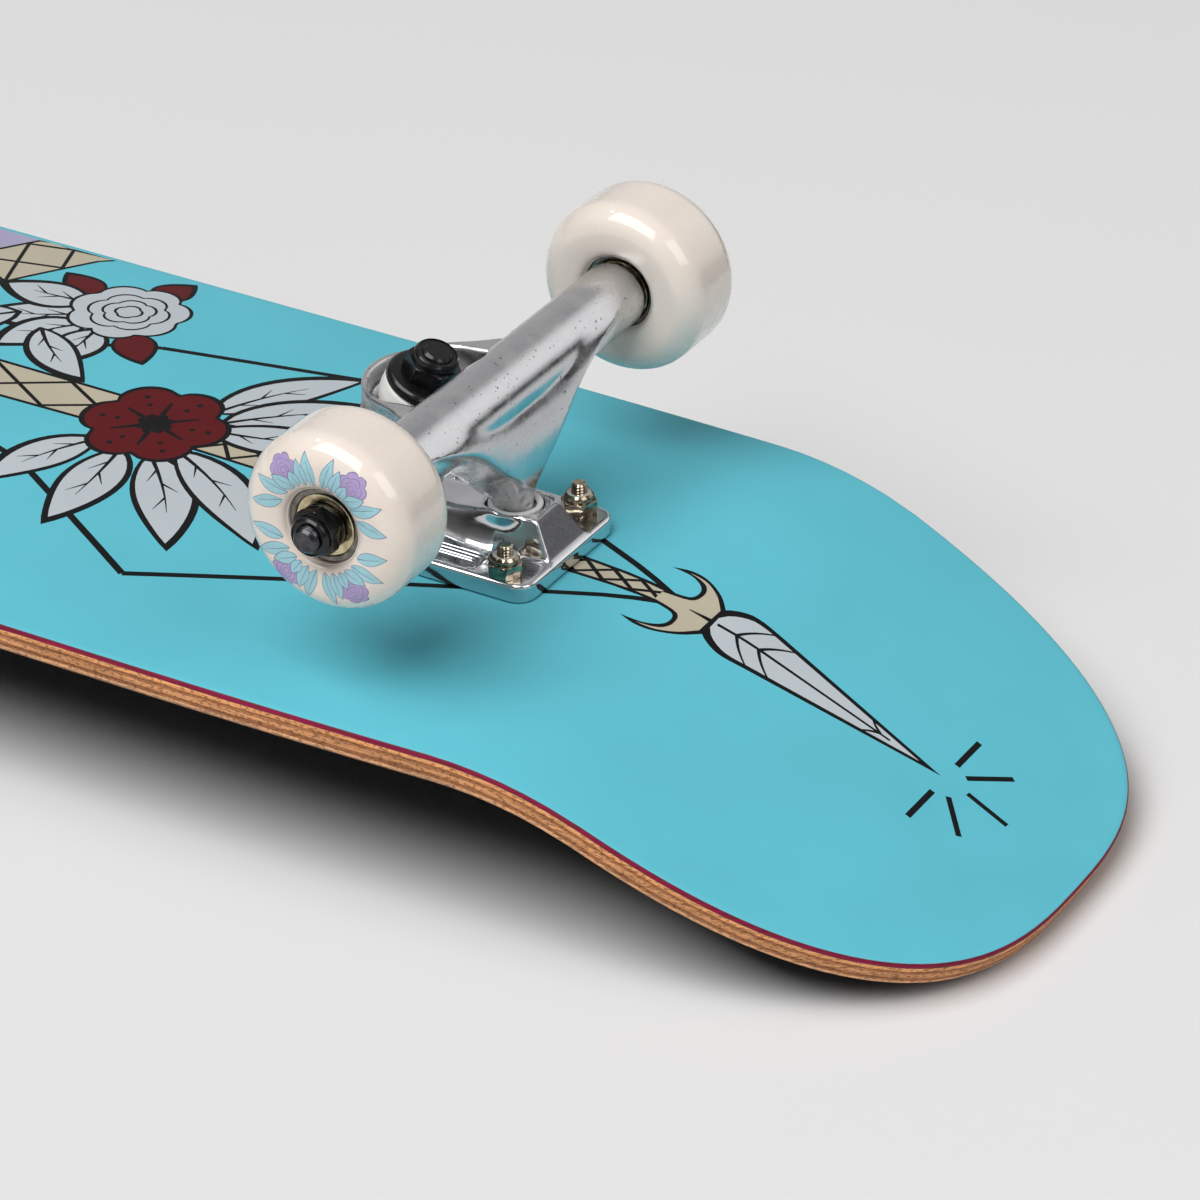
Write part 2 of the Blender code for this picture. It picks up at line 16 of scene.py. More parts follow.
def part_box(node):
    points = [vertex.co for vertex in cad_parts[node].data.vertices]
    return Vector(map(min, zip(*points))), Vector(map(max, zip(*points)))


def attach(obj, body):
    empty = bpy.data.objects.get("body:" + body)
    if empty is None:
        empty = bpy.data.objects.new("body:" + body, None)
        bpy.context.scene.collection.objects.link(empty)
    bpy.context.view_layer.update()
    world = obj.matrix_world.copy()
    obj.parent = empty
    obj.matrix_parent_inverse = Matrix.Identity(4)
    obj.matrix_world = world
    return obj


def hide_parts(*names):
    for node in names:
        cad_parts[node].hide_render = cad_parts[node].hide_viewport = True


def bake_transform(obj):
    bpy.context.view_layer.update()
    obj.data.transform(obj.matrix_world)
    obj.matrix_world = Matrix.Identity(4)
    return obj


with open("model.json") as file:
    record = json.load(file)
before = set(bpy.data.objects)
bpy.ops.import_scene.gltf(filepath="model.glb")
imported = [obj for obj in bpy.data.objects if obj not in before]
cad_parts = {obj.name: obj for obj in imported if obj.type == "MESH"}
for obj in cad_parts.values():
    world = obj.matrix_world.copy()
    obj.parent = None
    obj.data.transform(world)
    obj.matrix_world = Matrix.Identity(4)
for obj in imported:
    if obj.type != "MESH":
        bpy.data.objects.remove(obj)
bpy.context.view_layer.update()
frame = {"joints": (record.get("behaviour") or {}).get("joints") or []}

MM = 0.001
JOINTS = {joint["name"]: joint for joint in frame["joints"]}
TRUCKS = ("tail", "nose")
SIDES = (("left", 1), ("right", -1))

# ---------------------------------------------------------------- places from the frame

DECK_LOW, DECK_HIGH = (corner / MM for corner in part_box("deck"))
FACE = DECK_HIGH.z
HUB = {t: Vector(JOINTS[f"wheel_spin_{t}_left"]["pos_m"]) / MM for t in TRUCKS}
AXLE_X = {t: HUB[t].x for t in TRUCKS}
AXLE_HEIGHT = HUB["tail"].z - FACE
WHEEL_MID = HUB["tail"].y
WHEEL_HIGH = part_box("wheel_tail_left")[1] / MM
WHEEL_RADIUS = WHEEL_HIGH.z - HUB["tail"].z
WHEEL_HALF = WHEEL_HIGH.y - WHEEL_MID
WHEEL_TURN = {"tail_left": 20, "tail_right": 0, "nose_left": 75, "nose_right": 150}
BOLTS = []
for truck in TRUCKS:
    for number in range(1, 5):
        low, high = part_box(f"mounting_bolt_{truck}_{number}")
        BOLTS.append((truck, number, (low.x + high.x) / 2 / MM, (low.y + high.y) / 2 / MM))

# deck shape, as in the CAD model
RIM_SHORTFALL = 0.8  # the rounded rim stops this far inside the outline's tip
HALF_LENGTH = DECK_HIGH.x + RIM_SHORTFALL
DECK_WIDTH = DECK_HIGH.y - DECK_LOW.y
DECK_THICKNESS = 9.7
GRIP_DEPTH = 10.8
GRIP_INSET = 3.2
TOP_ROUND = 2.0
BOTTOM_ROUND = 3.6
KICK_START = 150.5
KICK_RADIUS = 124.0
KICK_ANGLE = math.radians(24.0)
CONCAVE_DROP = 4.4
CONCAVE_FLAT = 23.0
CONCAVE_POWER = 1.8
CONCAVE_FADE = 0.15
END_CURVE_LENGTH = 112.0
END_CURVE_ALONG = 2.6
END_CURVE_ACROSS = 2.85
WAIST_START = 244.0
WAIST_SPAN = 150.0
WAIST = 0.04
BEND_LENGTH = KICK_RADIUS * math.sin(KICK_ANGLE)
BEND_DROP = KICK_RADIUS * (1 - math.cos(KICK_ANGLE))
BOLT_HOLE = 2.75  # radius of the holes, and of their countersinks below
HEAD_HOLE = 5.2

# truck shape, as in the CAD model
PATTERN_X = -12.8
BOLT_HALF_X, BOLT_HALF_Y = 53.975 / 2, 41.275 / 2
KINGPIN_FOOT_X = -40.7
KINGPIN_LEAN = math.radians(22.0)
KINGPIN_RADIUS = 4.7
KINGPIN_NUT_SEAT = 47.4
PLATE_THICKNESS = 6.0
PIVOT_MOUTH = (4.8, 0.0, 16.4)
PIVOT_TILT = math.radians(35.0)
PIVOT_LIP_X = 5.4
RING_FLOOR = 33.6
RING_LOW, RING_HIGH = 27.6, 39.0
BOSS_HIGH = 10.3
FRONT_SLOPE = (0.8321, 0.0, 0.5547)
FRONT_REACH = 22.38
BARREL_RADIUS = 10.0
BARREL_HALF = 66.1
AXLE_RADIUS = 3.95
AXLE_HOLE = 4.25
AXLE_HALF = 101.6
BEARING_LOW, BEARING_HIGH = 5.3, 11.6
AXLE_NUT_SEAT = 13.3
WHEEL_PRINT_INNER, WHEEL_PRINT_OUTER = 12.6, 23.6


# ---------------------------------------------------------------- mesh tools

def mesh_from(bm, name):
    mesh = bpy.data.meshes.new(name)
    bm.to_mesh(mesh)
    bm.free()
    return mesh


def shaded(mesh, mat, sharp):
    """Give the mesh a material and smooth shading, creased where faces turn by more than sharp degrees."""
    mesh.materials.append(mat)
    mesh.shade_smooth()
    mesh.set_sharp_from_angle(angle=math.radians(sharp))
    return mesh


def point_mesh(name, points, faces, mat, sharp):
    """A mesh from points in millimetres."""
    mesh = bpy.data.meshes.new(name)
    mesh.from_pydata([(x * MM, y * MM, z * MM) for x, y, z in points], [], faces)
    return shaded(mesh, mat, sharp)


def lathe(name, profile, mat, steps=64, sharp=32, corner=0.0, bends=3):
    """Turn (radius, height) millimetre points about Z; the profile is a ring, or runs axis to axis."""
    if corner:
        profile = rounded(profile, corner, bends)
    bm = bmesh.new()
    verts = [bm.verts.new((r * MM, 0, z * MM)) for r, z in profile]
    edges = [bm.edges.new(pair) for pair in zip(verts, verts[1:])]
    if profile[0][0] or profile[-1][0]:
        edges.append(bm.edges.new((verts[-1], verts[0])))
    bmesh.ops.spin(bm, geom=verts + edges, cent=(0, 0, 0), axis=(0, 0, 1), dvec=(0, 0, 0),
                   angle=2 * math.pi, steps=steps, use_merge=True)
    bmesh.ops.remove_doubles(bm, verts=bm.verts[:], dist=1e-7)
    bmesh.ops.dissolve_degenerate(bm, dist=1e-7, edges=bm.edges[:])
    bmesh.ops.recalc_face_normals(bm, faces=bm.faces[:])
    return shaded(mesh_from(bm, name), mat, sharp)


def rounded(profile, radius, steps):
    """Round the corners of an open or closed (radius, height) profile away from the axis."""
    closed = bool(profile[0][0] or profile[-1][0])
    out = []
    count = len(profile)
    for i, point in enumerate(profile):
        here = Vector(point)
        if not closed and i in (0, count - 1):
            out.append(tuple(here))
            continue
        before, after = Vector(profile[i - 1]) - here, Vector(profile[(i + 1) % count]) - here
        cut = min(radius, before.length * 0.45, after.length * 0.45)
        start, end = here + before.normalized() * cut, here + after.normalized() * cut
        for j in range(steps + 1):
            t = j / steps
            out.append(tuple((1 - t) ** 2 * start + 2 * t * (1 - t) * here + t * t * end))
    return out


def new_object(name, data):
    obj = bpy.data.objects.new(name, data)
    bpy.context.scene.collection.objects.link(obj)
    return obj


def put(name, mesh, matrix, body, nodes=()):
    obj = new_object(name, mesh)
    obj.matrix_world = matrix
    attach(obj, body)
    if nodes:
        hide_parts(*nodes)


def at(x, y, z):
    return Matrix.Translation((x * MM, y * MM, z * MM))


def truck_place(truck):
    turn = 0.0 if truck == "tail" else math.pi
    return at(AXLE_X[truck], 0, FACE) @ Matrix.Rotation(turn, 4, "Z")


def kingpin_point(along):
    return Vector((KINGPIN_FOOT_X + along * math.sin(KINGPIN_LEAN), 0,
                   PLATE_THICKNESS + along * math.cos(KINGPIN_LEAN)))


def kingpin_place():
    return Matrix.Translation(kingpin_point(0.0) * MM) @ Matrix.Rotation(KINGPIN_LEAN, 4, "Y")


def pivot_place():
    return Matrix.Translation(Vector(PIVOT_MOUTH) * MM) @ Matrix.Rotation(-PIVOT_TILT, 4, "Y")


def outward(truck, sign, reach):
    """On the axle, reach from the middle of the board, with Z pointing away from it."""
    return at(HUB[truck].x, sign * reach, HUB[truck].z) @ Matrix.Rotation(-sign * math.pi / 2, 4, "X")


# ---------------------------------------------------------------- materials

class Nodes:
    """Short calls that add nodes to a tree."""

    def __init__(self, tree):
        self.tree = tree

    def link(self, a, b):
        self.tree.links.new(a, b)

    def node(self, kind, **values):
        made = self.tree.nodes.new(kind)
        for key, value in values.items():
            setattr(made, key, value)
        return made

    def math(self, operation, a, b):
        made = self.node("ShaderNodeMath", operation=operation)
        self.link(a, made.inputs[0])
        self.link(b, made.inputs[1])
        return made.outputs[0]

    def along(self, source, direction):
        """How far a vector reaches in a direction."""
        made = self.node("ShaderNodeVectorMath", operation="DOT_PRODUCT")
        made.inputs[1].default_value = direction
        self.link(source, made.inputs[0])
        return made.outputs["Value"]

    def remap(self, source, low, high, to_low, to_high, kind="LINEAR"):
        made = self.node("ShaderNodeMapRange", interpolation_type=kind)
        for socket, value in (("From Min", low), ("From Max", high), ("To Min", to_low), ("To Max", to_high)):
            made.inputs[socket].default_value = value
        self.link(source, made.inputs["Value"])
        return made.outputs["Result"]

    def ramp(self, source, stops):
        made = self.node("ShaderNodeValToRGB")
        ramp = made.color_ramp
        while len(ramp.elements) < len(stops):
            ramp.elements.new(0.5)
        for element, (position, color) in zip(ramp.elements, stops):
            element.position = position
            element.color = (*color, 1.0)
        self.link(source, made.inputs["Fac"])
        return made.outputs["Color"]

    def mix(self, factor, a, b, blend="MIX"):
        made = self.node("ShaderNodeMix", data_type="RGBA", blend_type=blend)
        for socket, value in ((0, factor), (6, a), (7, b)):
            if isinstance(value, float):
                made.inputs[socket].default_value = value
            elif isinstance(value, tuple):
                made.inputs[socket].default_value = (*value, 1.0)
            else:
                self.link(value, made.inputs[socket])
        return made.outputs[2]


class Shader(Nodes):
    """A Principled material."""

    def __init__(self, name, color, roughness, metallic=0.0, **sockets):
        self.mat = bpy.data.materials.new(name)
        self.mat.use_nodes = True
        super().__init__(self.mat.node_tree)
        self.bsdf = self.tree.nodes["Principled BSDF"]
        self.set("Base Color", (*color, 1.0))
        self.set("Roughness", roughness)
        self.set("Metallic", metallic)
        for socket, value in sockets.items():
            self.set(socket.replace("_", " "), value)
        self.mat.diffuse_color = (*color, 1.0)

    def set(self, socket, value):
        self.bsdf.inputs[socket].default_value = value

    def drive(self, socket, source):
        self.link(source, self.bsdf.inputs[socket])

    def tint(self, source, *stops):
        self.drive("Base Color", self.ramp(source, stops))

    def gloss(self, source, low, high, smooth, rough):
        self.drive("Roughness", self.remap(source, low, high, smooth, rough))

    def coords(self, scale=(1, 1, 1)):
        """Object coordinates in millimetres, stretched by scale."""
        where = self.node("ShaderNodeTexCoord")
        mapping = self.node("ShaderNodeMapping")
        mapping.inputs["Scale"].default_value = tuple(s / MM for s in scale)
        self.link(where.outputs["Object"], mapping.inputs["Vector"])
        return mapping.outputs["Vector"]

    def noise(self, size, scale=(1, 1, 1), detail=3.0, rough=0.5):
        """Noise whose grains measure about size millimetres."""
        made = self.node("ShaderNodeTexNoise")
        made.inputs["Scale"].default_value = 1 / size
        made.inputs["Detail"].default_value = detail
        made.inputs["Roughness"].default_value = rough
        self.link(self.coords(scale), made.inputs["Vector"])
        return made.outputs["Fac"]

    def bump(self, source, height, after=None):
        """Bump from a 0 to 1 source, with its height in millimetres."""
        made = self.node("ShaderNodeBump")
        made.inputs["Distance"].default_value = height * MM
        self.link(source, made.inputs["Height"])
        if after is not None:
            self.link(after, made.inputs["Normal"])
        self.drive("Normal", made.outputs["Normal"])
        return made.outputs["Normal"]


def linear(r, g, b):
    """An sRGB colour of 0 to 255 as linear values."""
    return tuple((c / 255 / 12.92) if c <= 10 else ((c / 255 + 0.055) / 1.055) ** 2.4 for c in (r, g, b))


def printed(name, color, coat=0.03):
    """Screen print under a satin lacquer."""
    shader = Shader(name, color, 0.42, Coat_Weight=coat, Coat_Roughness=0.3, Specular_IOR_Level=0.09)
    shade = shader.remap(shader.noise(38.0, detail=2.0), 0.3, 0.7, 0.97, 1.03)
    shader.drive("Base Color", shader.mix(1.0, color, shade, "MULTIPLY"))
    shader.gloss(shader.noise(9.0), 0.3, 0.7, 0.39, 0.46)
    peel = shader.bump(shader.noise(1.6, detail=1.0), 0.008)
    shader.bump(shader.noise(60.0, scale=(1, 2.5, 1), detail=1.0), 0.10, after=peel)
    return shader.mat


TURQUOISE = (0.122, 0.520, 0.625)
# depth under the graphic face in millimetres, and colour
PLIES = [
    (0.00, TURQUOISE), (0.04, TURQUOISE), (0.10, linear(112, 10, 48)), (1.15, linear(150, 18, 70)),
    (1.30, linear(84, 20, 28)), (1.45, linear(244, 178, 118)), (2.60, linear(232, 160, 104)),
    (2.75, linear(150, 92, 54)), (3.95, linear(206, 144, 96)), (4.10, linear(222, 160, 110)),
    (5.30, linear(206, 146, 98)), (5.45, linear(150, 92, 56)), (6.60, linear(186, 126, 82)),
    (6.75, linear(246, 190, 140)), (8.05, linear(236, 176, 126)), (8.20, linear(158, 102, 64)),
    (9.70, linear(186, 128, 84)),
]


def ply_wood():
    """Seven maple plies, coloured by their depth under the graphic face, whose print wraps the rim."""
    shader = Shader("deck_plies", linear(180, 130, 95), 0.5, Specular_IOR_Level=0.2)
    depth = shader.node("ShaderNodeAttribute", attribute_name="depth").outputs["Fac"]
    wave = shader.remap(shader.noise(26.0, scale=(1, 1, 0.2), detail=2.0), 0.3, 0.7, -0.10, 0.10)
    drift = shader.math("MULTIPLY", wave, shader.remap(depth, 0.4, 1.3, 0.0, 1.0))
    share = shader.remap(shader.math("ADD", depth, drift), 0.0, DECK_THICKNESS, 0.0, 1.0)
    colors = shader.ramp(share, [(d / DECK_THICKNESS, c) for d, c in PLIES])
    grain = shader.noise(0.8, scale=(0.05, 0.05, 1.0), detail=4.0, rough=0.65)
    toned = shader.mix(1.0, colors, shader.remap(grain, 0.35, 0.66, 0.70, 1.28), "MULTIPLY")
    pores = shader.noise(0.62, scale=(0.42, 0.42, 1.0), detail=2.0, rough=0.6)
    wood = shader.mix(shader.remap(pores, 0.51, 0.60, 0.0, 0.58), toned, linear(88, 46, 26))
    bare = shader.remap(depth, 0.05, 0.12, 0.0, 1.0)
    shader.drive("Base Color", shader.mix(bare, TURQUOISE, wood))
    shader.gloss(grain, 0.3, 0.7, 0.42, 0.6)
    shader.bump(grain, 0.05)
    return shader.mat


def grit():
    """Black abrasive paper."""
    shader = Shader("grip_grit", (0.018, 0.018, 0.019), 0.85, Specular_IOR_Level=0.1)
    grains = shader.noise(0.55, detail=2.0, rough=0.7)
    shader.tint(grains, (0.42, (0.010, 0.010, 0.011)), (0.66, (0.06, 0.06, 0.062)))
    shader.gloss(grains, 0.4, 0.7, 0.92, 0.45)
    shader.bump(grains, 0.35)
    return shader.mat


def cast_metal():
    """Satin cast aluminium with fine pits and small rubbed patches."""
    shader = Shader("hanger_satin", (0.60, 0.60, 0.61), 0.24, 1.0)
    cloud = shader.noise(7.0, detail=4.0, rough=0.6)
    pit = shader.remap(shader.noise(1.3, detail=1.0), 0.70, 0.78, 1.0, 0.0)
    base = shader.ramp(cloud, [(0.3, (0.56, 0.56, 0.575)), (0.7, (0.66, 0.66, 0.665))])
    shader.drive("Base Color", shader.mix(pit, (0.22, 0.22, 0.23), base))
    shader.gloss(cloud, 0.3, 0.7, 0.19, 0.31)
    fine = shader.bump(shader.noise(0.7, detail=3.0, rough=0.6), 0.012)
    shader.bump(cloud, 0.07, after=shader.bump(pit, 0.05, after=fine))
    return shader.mat


def polished_metal():
    """Buffed aluminium, nearly a mirror, with faint waves and hairlines; its sloped front face is painted
    dark grey and made rougher, a painted reflection of the dark room it faces.
    """
    shader = Shader("baseplate_mirror", (0.64, 0.64, 0.65), 0.10, 1.0)
    cloud = shader.noise(11.0, detail=3.0)
    hair = shader.noise(0.5, scale=(0.06, 1.0, 1.0), detail=2.0)
    buffed = shader.ramp(cloud, [(0.3, (0.60, 0.60, 0.615)), (0.7, (0.69, 0.69, 0.70))])
    where = shader.coords()
    # painted reflection: above the flange, the sloped front face gets a dark streaked grey (cast) and more
    # roughness in place of the dark surroundings it mirrors
    front = shader.remap(shader.along(where, FRONT_SLOPE), FRONT_REACH - 0.35, FRONT_REACH - 0.1, 0.0, 1.0)
    height = shader.along(where, (0.0, 0.0, 1.0))
    above = shader.remap(height, PLATE_THICKNESS + 0.3, PLATE_THICKNESS + 0.9, 0.0, 1.0)
    painted_reflection_mask = shader.math("MULTIPLY", front, above)
    streaks = shader.noise(0.5, scale=(1.0, 1.0, 0.12), detail=3.0)
    cast = shader.ramp(streaks, [(0.3, (0.10, 0.10, 0.105)), (0.7, (0.17, 0.17, 0.175))])
    shader.drive("Base Color", shader.mix(painted_reflection_mask, buffed, cast))
    rough = shader.node("ShaderNodeMix", data_type="FLOAT")
    rough.inputs["B"].default_value = 0.42
    shader.link(painted_reflection_mask, rough.inputs["Factor"])
    shader.link(shader.remap(hair, 0.35, 0.7, 0.07, 0.18), rough.inputs["A"])
    shader.drive("Roughness", rough.outputs["Result"])
    shader.bump(hair, 0.003, after=shader.bump(cloud, 0.10))
    return shader.mat


def plated(name, low, high, roughness):
    """Plated or blackened steel whose colour drifts between two tones."""
    shader = Shader(name, high, roughness, 1.0)
    cloud = shader.noise(2.4, detail=3.0, rough=0.6)
    shader.tint(cloud, (0.35, low), (0.65, high))
    shader.gloss(cloud, 0.3, 0.7, roughness * 0.7, roughness * 1.3)
    shader.bump(shader.noise(0.6, detail=2.0), 0.01)
    return shader.mat


def black_metal():
    """Glossy black oxide with a thin oily lacquer."""
    shader = Shader("hardware_black", (0.005, 0.005, 0.006), 0.18, Specular_IOR_Level=0.4)
    cloud = shader.noise(2.6, detail=3.0)
    shader.tint(cloud, (0.35, (0.003, 0.003, 0.0035)), (0.7, (0.007, 0.007, 0.008)))
    shader.gloss(cloud, 0.3, 0.7, 0.13, 0.24)
    shader.bump(shader.noise(0.5, detail=2.0), 0.005)
    return shader.mat


def rubbery(name, color, roughness, coat=0.0):
    """Moulded urethane or plastic: slight translucency, faint mottling and a fine surface."""
    shader = Shader(name, color, roughness, Subsurface_Weight=0.25, Subsurface_Scale=0.004,
                    Coat_Weight=coat, Coat_Roughness=0.035, Specular_IOR_Level=0.5 - 0.4 * coat)
    shader.set("Subsurface Radius", (1.0, 0.75, 0.6))
    shader.tint(shader.noise(14.0, detail=3.0), (0.3, tuple(c * 0.98 for c in color)), (0.7, color))
    shader.gloss(shader.noise(4.0), 0.3, 0.7, roughness * 0.85, roughness * 1.15)
    shader.bump(shader.noise(1.2, detail=2.0), 0.002)
    return shader.mat


INK = {"base": printed("print_turquoise", TURQUOISE),
       "black": printed("print_black", (0.005, 0.005, 0.006), 0.0),
       "tan": printed("print_tan", linear(186, 178, 157)),
       "red": printed("print_red", linear(90, 16, 20)),
       "pale": printed("print_pale", linear(188, 195, 200)),
       "lavender": printed("print_lavender", linear(168, 163, 192))}
PLY = ply_wood()
GRIT = grit()
CAST = cast_metal()
POLISHED = polished_metal()
NICKEL = plated("hardware_nickel", (0.13, 0.10, 0.065), (0.46, 0.395, 0.30), 0.10)
STEEL = plated("axle_steel", (0.045, 0.045, 0.05), (0.10, 0.10, 0.105), 0.30)
RACE = plated("bearing_race", (0.10, 0.09, 0.08), (0.24, 0.22, 0.19), 0.16)
SHIELD = plated("bearing_shield", (0.42, 0.34, 0.18), (0.70, 0.62, 0.42), 0.24)
BLACK = black_metal()
NYLON = rubbery("nylon_white", (0.62, 0.60, 0.55), 0.4)
WHITE = rubbery("bushing_white", (0.80, 0.79, 0.76), 0.30)
WHEEL_INK = {"base": rubbery("wheel_cream", linear(236, 224, 213), 0.27, coat=0.9),
             "blue": rubbery("wheel_print_blue", linear(160, 208, 218), 0.30),
             "lilac": rubbery("wheel_print_lilac", linear(178, 158, 204), 0.30),
             "line": rubbery("wheel_print_line", linear(118, 118, 150), 0.30)}


# ---------------------------------------------------------------- flat shapes for the prints

def polar(centre, radius, angle):
    return Vector((centre[0] + radius * math.cos(angle), centre[1] + radius * math.sin(angle)))


def smooth_curve(points, steps):
    """A Catmull-Rom curve through the points."""
    out = []
    for i in range(len(points) - 1):
        a = Vector(points[max(i - 1, 0)])
        b, c = Vector(points[i]), Vector(points[i + 1])
        d = Vector(points[min(i + 2, len(points) - 1)])
        for j in range(steps):
            t = j / steps
            out.append(tuple(0.5 * (2 * b + (c - a) * t + (2 * a - 5 * b + 4 * c - d) * t * t
                                    + (3 * b - a - 3 * c + d) * t ** 3)))
    out.append(points[-1])
    return out


def bowed(a, b, bend, steps):
    """Points from a to b along a curve that bows sideways by a share of its length."""
    middle = (a + b) / 2 + Vector((a.y - b.y, b.x - a.x)) * bend
    return [(1 - t) ** 2 * a + 2 * t * (1 - t) * middle + t * t * b
            for t in (i / steps for i in range(steps + 1))]


def ribbon(path, widths):
    """A closed outline around a path, with a half width for each of its points."""
    left, right = [], []
    for i, point in enumerate(path):
        along = (path[min(i + 1, len(path) - 1)] - path[max(i - 1, 0)]).normalized()
        across = Vector((-along.y, along.x))
        left.append(point + across * widths[i])
        right.append(point - across * widths[i])
    return left + right[::-1]


def stroke(a, b, start, end, bend=0.0):
    """A tapering line, its half widths given at both ends."""
    steps = 8 if bend else 2
    path = bowed(Vector(a), Vector(b), bend, steps)
    return ribbon(path, [max(0.05, start + (end - start) * i / steps) for i in range(steps + 1)])


def leaf(base, tip, width, bend, grow, steps):
    """A pointed leaf; grow widens it for its outline."""
    base, tip = Vector(base), Vector(tip)
    along = (tip - base).normalized()
    path = bowed(base - along * grow, tip + along * grow * 2.2, bend, steps)
    swell = [math.sin(math.pi * (i / steps) ** 0.82) ** 0.85 for i in range(1, steps)]
    return ribbon(path, [0.3] + [max(0.04, (width + grow) * share) for share in swell] + [0.04])


def long_leaf(base, tip, width, grow=0.0, steps=40):
    """A slim leaf, widest near its base, that tapers almost straight to its tip."""
    base, tip = Vector(base), Vector(tip)
    along = (tip - base).normalized()
    base, tip = base - along * grow, tip + along * grow * 4.5
    shares = [i / steps for i in range(steps + 1)]
    widths = []
    for t in shares:
        swell = (1 - (1 - min(1.0, t / 0.20 + 0.04)) ** 2) ** 0.5
        widths.append(max(0.04, (width + grow) * swell * (1 - max(0.0, t - 0.12) / 0.88)))
    return ribbon([base + (tip - base) * t for t in shares], widths)


def horned(outer, inner, middle=0.8):
    """A mirrored shape with two curved horns: outer and inner edges of one half, meeting at its tip."""
    half = smooth_curve(outer, 4)[:-1] + smooth_curve(inner, 4)
    return [Vector((x, middle + y)) for x, y in half] + [Vector((x, middle - y)) for x, y in half[::-1]]


def blossom(centre, radius, lobes, depth, phase=0.0, steps=72):
    """A round flower outline with shallow lobes."""
    out = []
    for i in range(steps):
        angle = 2 * math.pi * i / steps
        reach = radius * (1 - depth + depth * abs(math.cos(lobes * (angle - phase) / 2)) ** 0.6)
        out.append(polar(centre, reach, angle))
    return out


def disc(centre, radius, steps):
    return [polar(centre, radius, 2 * math.pi * i / steps) for i in range(steps)]


class Print(list):
    """Closed outlines with their colours, each laid over those before it."""

    def add(self, colour, *shapes):
        self.extend((shape, colour) for shape in shapes)

    def leaf(self, colour, base, tip, width, bend=0.0, line=1.2, edge="black", steps=14):
        self.add(edge, leaf(base, tip, width, bend, line, steps))
        self.add(colour, leaf(base, tip, width, bend, 0.0, steps))

    def veined_leaf(self, base, tip, width, bend, line):
        self.leaf("pale", base, tip, width, bend, line)
        path = bowed(Vector(base), Vector(tip), bend, 12)
        self.add("black", ribbon(path[:9], [0.75 - 0.08 * i for i in range(9)]))
        for k in range(3):
            start = path[2 + 2 * k]
            along = (path[3 + 2 * k] - start).normalized()
            across = Vector((-along.y, along.x)) * (1 if k % 2 else -1)
            self.add("black", stroke(start, start + along * width * 0.75 + across * width * 0.5, 0.45, 0.1))

    def blossom(self, colour, centre, edge_radius, radius, lobes, depth, phase, edge="black"):
        self.add(edge, blossom(centre, edge_radius, lobes, depth, phase))
        self.add(colour, blossom(centre, radius, lobes, depth, phase))


def lattice(art, a, b, width_a, width_b, cells, line=1.3):
    """A tan strip with crossing black lines between two points."""
    a, b = Vector(a), Vector(b)
    along = (b - a).normalized()
    across = Vector((-along.y, along.x))
    length = (b - a).length

    def edge(t, side, extra=0.0):
        return a + along * (length * t) + across * side * (width_a + (width_b - width_a) * t + extra)

    art.add("black", [edge(0, 1, line) - along * line, edge(0, -1, line) - along * line,
                      edge(1, -1, line) + along * line, edge(1, 1, line) + along * line])
    art.add("tan", [edge(0, 1), edge(0, -1), edge(1, -1), edge(1, 1)])
    for i in range(cells):
        for side in (1, -1):
            art.add("black", stroke(edge(i / cells, side), edge((i + 1) / cells, -side), 0.65, 0.65))


def strips(art):
    """The lavender field, the thin lines and the lattice strips."""
    far_field = [(-8, 20), (-2, 60), (-10, 80), (-6, 108), (-40, 108), (-40, 20)]
    art.add("lavender", [Vector(p) for p in far_field])
    for a, b in (((73, -28), (134, -65)), ((134, -65), (275, -1.2)), ((68, 53), (135, 68.5)),
                 ((135, 68.5), (275, 3.7)), ((20, 30), (68, 53)), ((20, -10), (73, -28))):
        art.add("black", stroke(a, b, 1.1, 1.1))
    lattice(art, (-10, 72), (8, 108), 11, 11, 2)
    lattice(art, (2, 11), (86, 12), 9, 8, 3)
    lattice(art, (100, 12), (175, 8), 7, 5.4, 6)
    lattice(art, (188, 6), (274, 1.0), 5.8, 2.5, 9)


def horned_leaf(art):
    """The long pointed leaf behind its two horns, and the short rays past its tip."""
    art.add("black",
            horned([(290, 7), (285.6, 12.2), (279.4, 16), (273.5, 16.8), (268, 15)],
                   [(268, 15), (274.4, 14.6), (278.8, 12.2), (280.4, 8.8), (279, 5), (272, 3.6)]),
            long_leaf((288.6, 0.9), (355, 4.1), 10.8, grow=1.3))
    art.add("tan",
            horned([(288.6, 6.2), (284.8, 11.2), (280.4, 14.4), (277, 15.4), (273.4, 15.6)],
                   [(273.4, 15.6), (277.6, 14.6), (280.6, 12.6), (281.8, 8.8), (280.2, 4), (272, 2.2)]))
    art.add("black", stroke((282, 0.8), (290, 0.9), 0.2, 1.0))
    art.add("pale", long_leaf((290, 1.0), (354, 4.0), 10.0))
    art.add("black", stroke((291, 1.0), (345, 3.6), 0.6, 0.4))
    for x, reach in ((297, 9.6), (304, 8.6)):
        for sign in (1, -1):
            art.add("black", stroke((x, 1.4), (x + 8, 1.8 + sign * reach), 0.55, 0.25, 0.12 * sign))
    for sign in (1, -1):
        art.add("black", stroke((342, 3.6), (338, 3.4 + 3.2 * sign), 0.5, 0.3, 0.1 * sign))
    for a, b in (((362, 12), (362, 26)), ((366, 10), (375, 22)), ((369, 5), (382, 4)),
                 ((366, -1), (375, -12)), ((362, -3), (362, -18))):
        art.add("black", stroke(a, b, 0.85, 0.85))


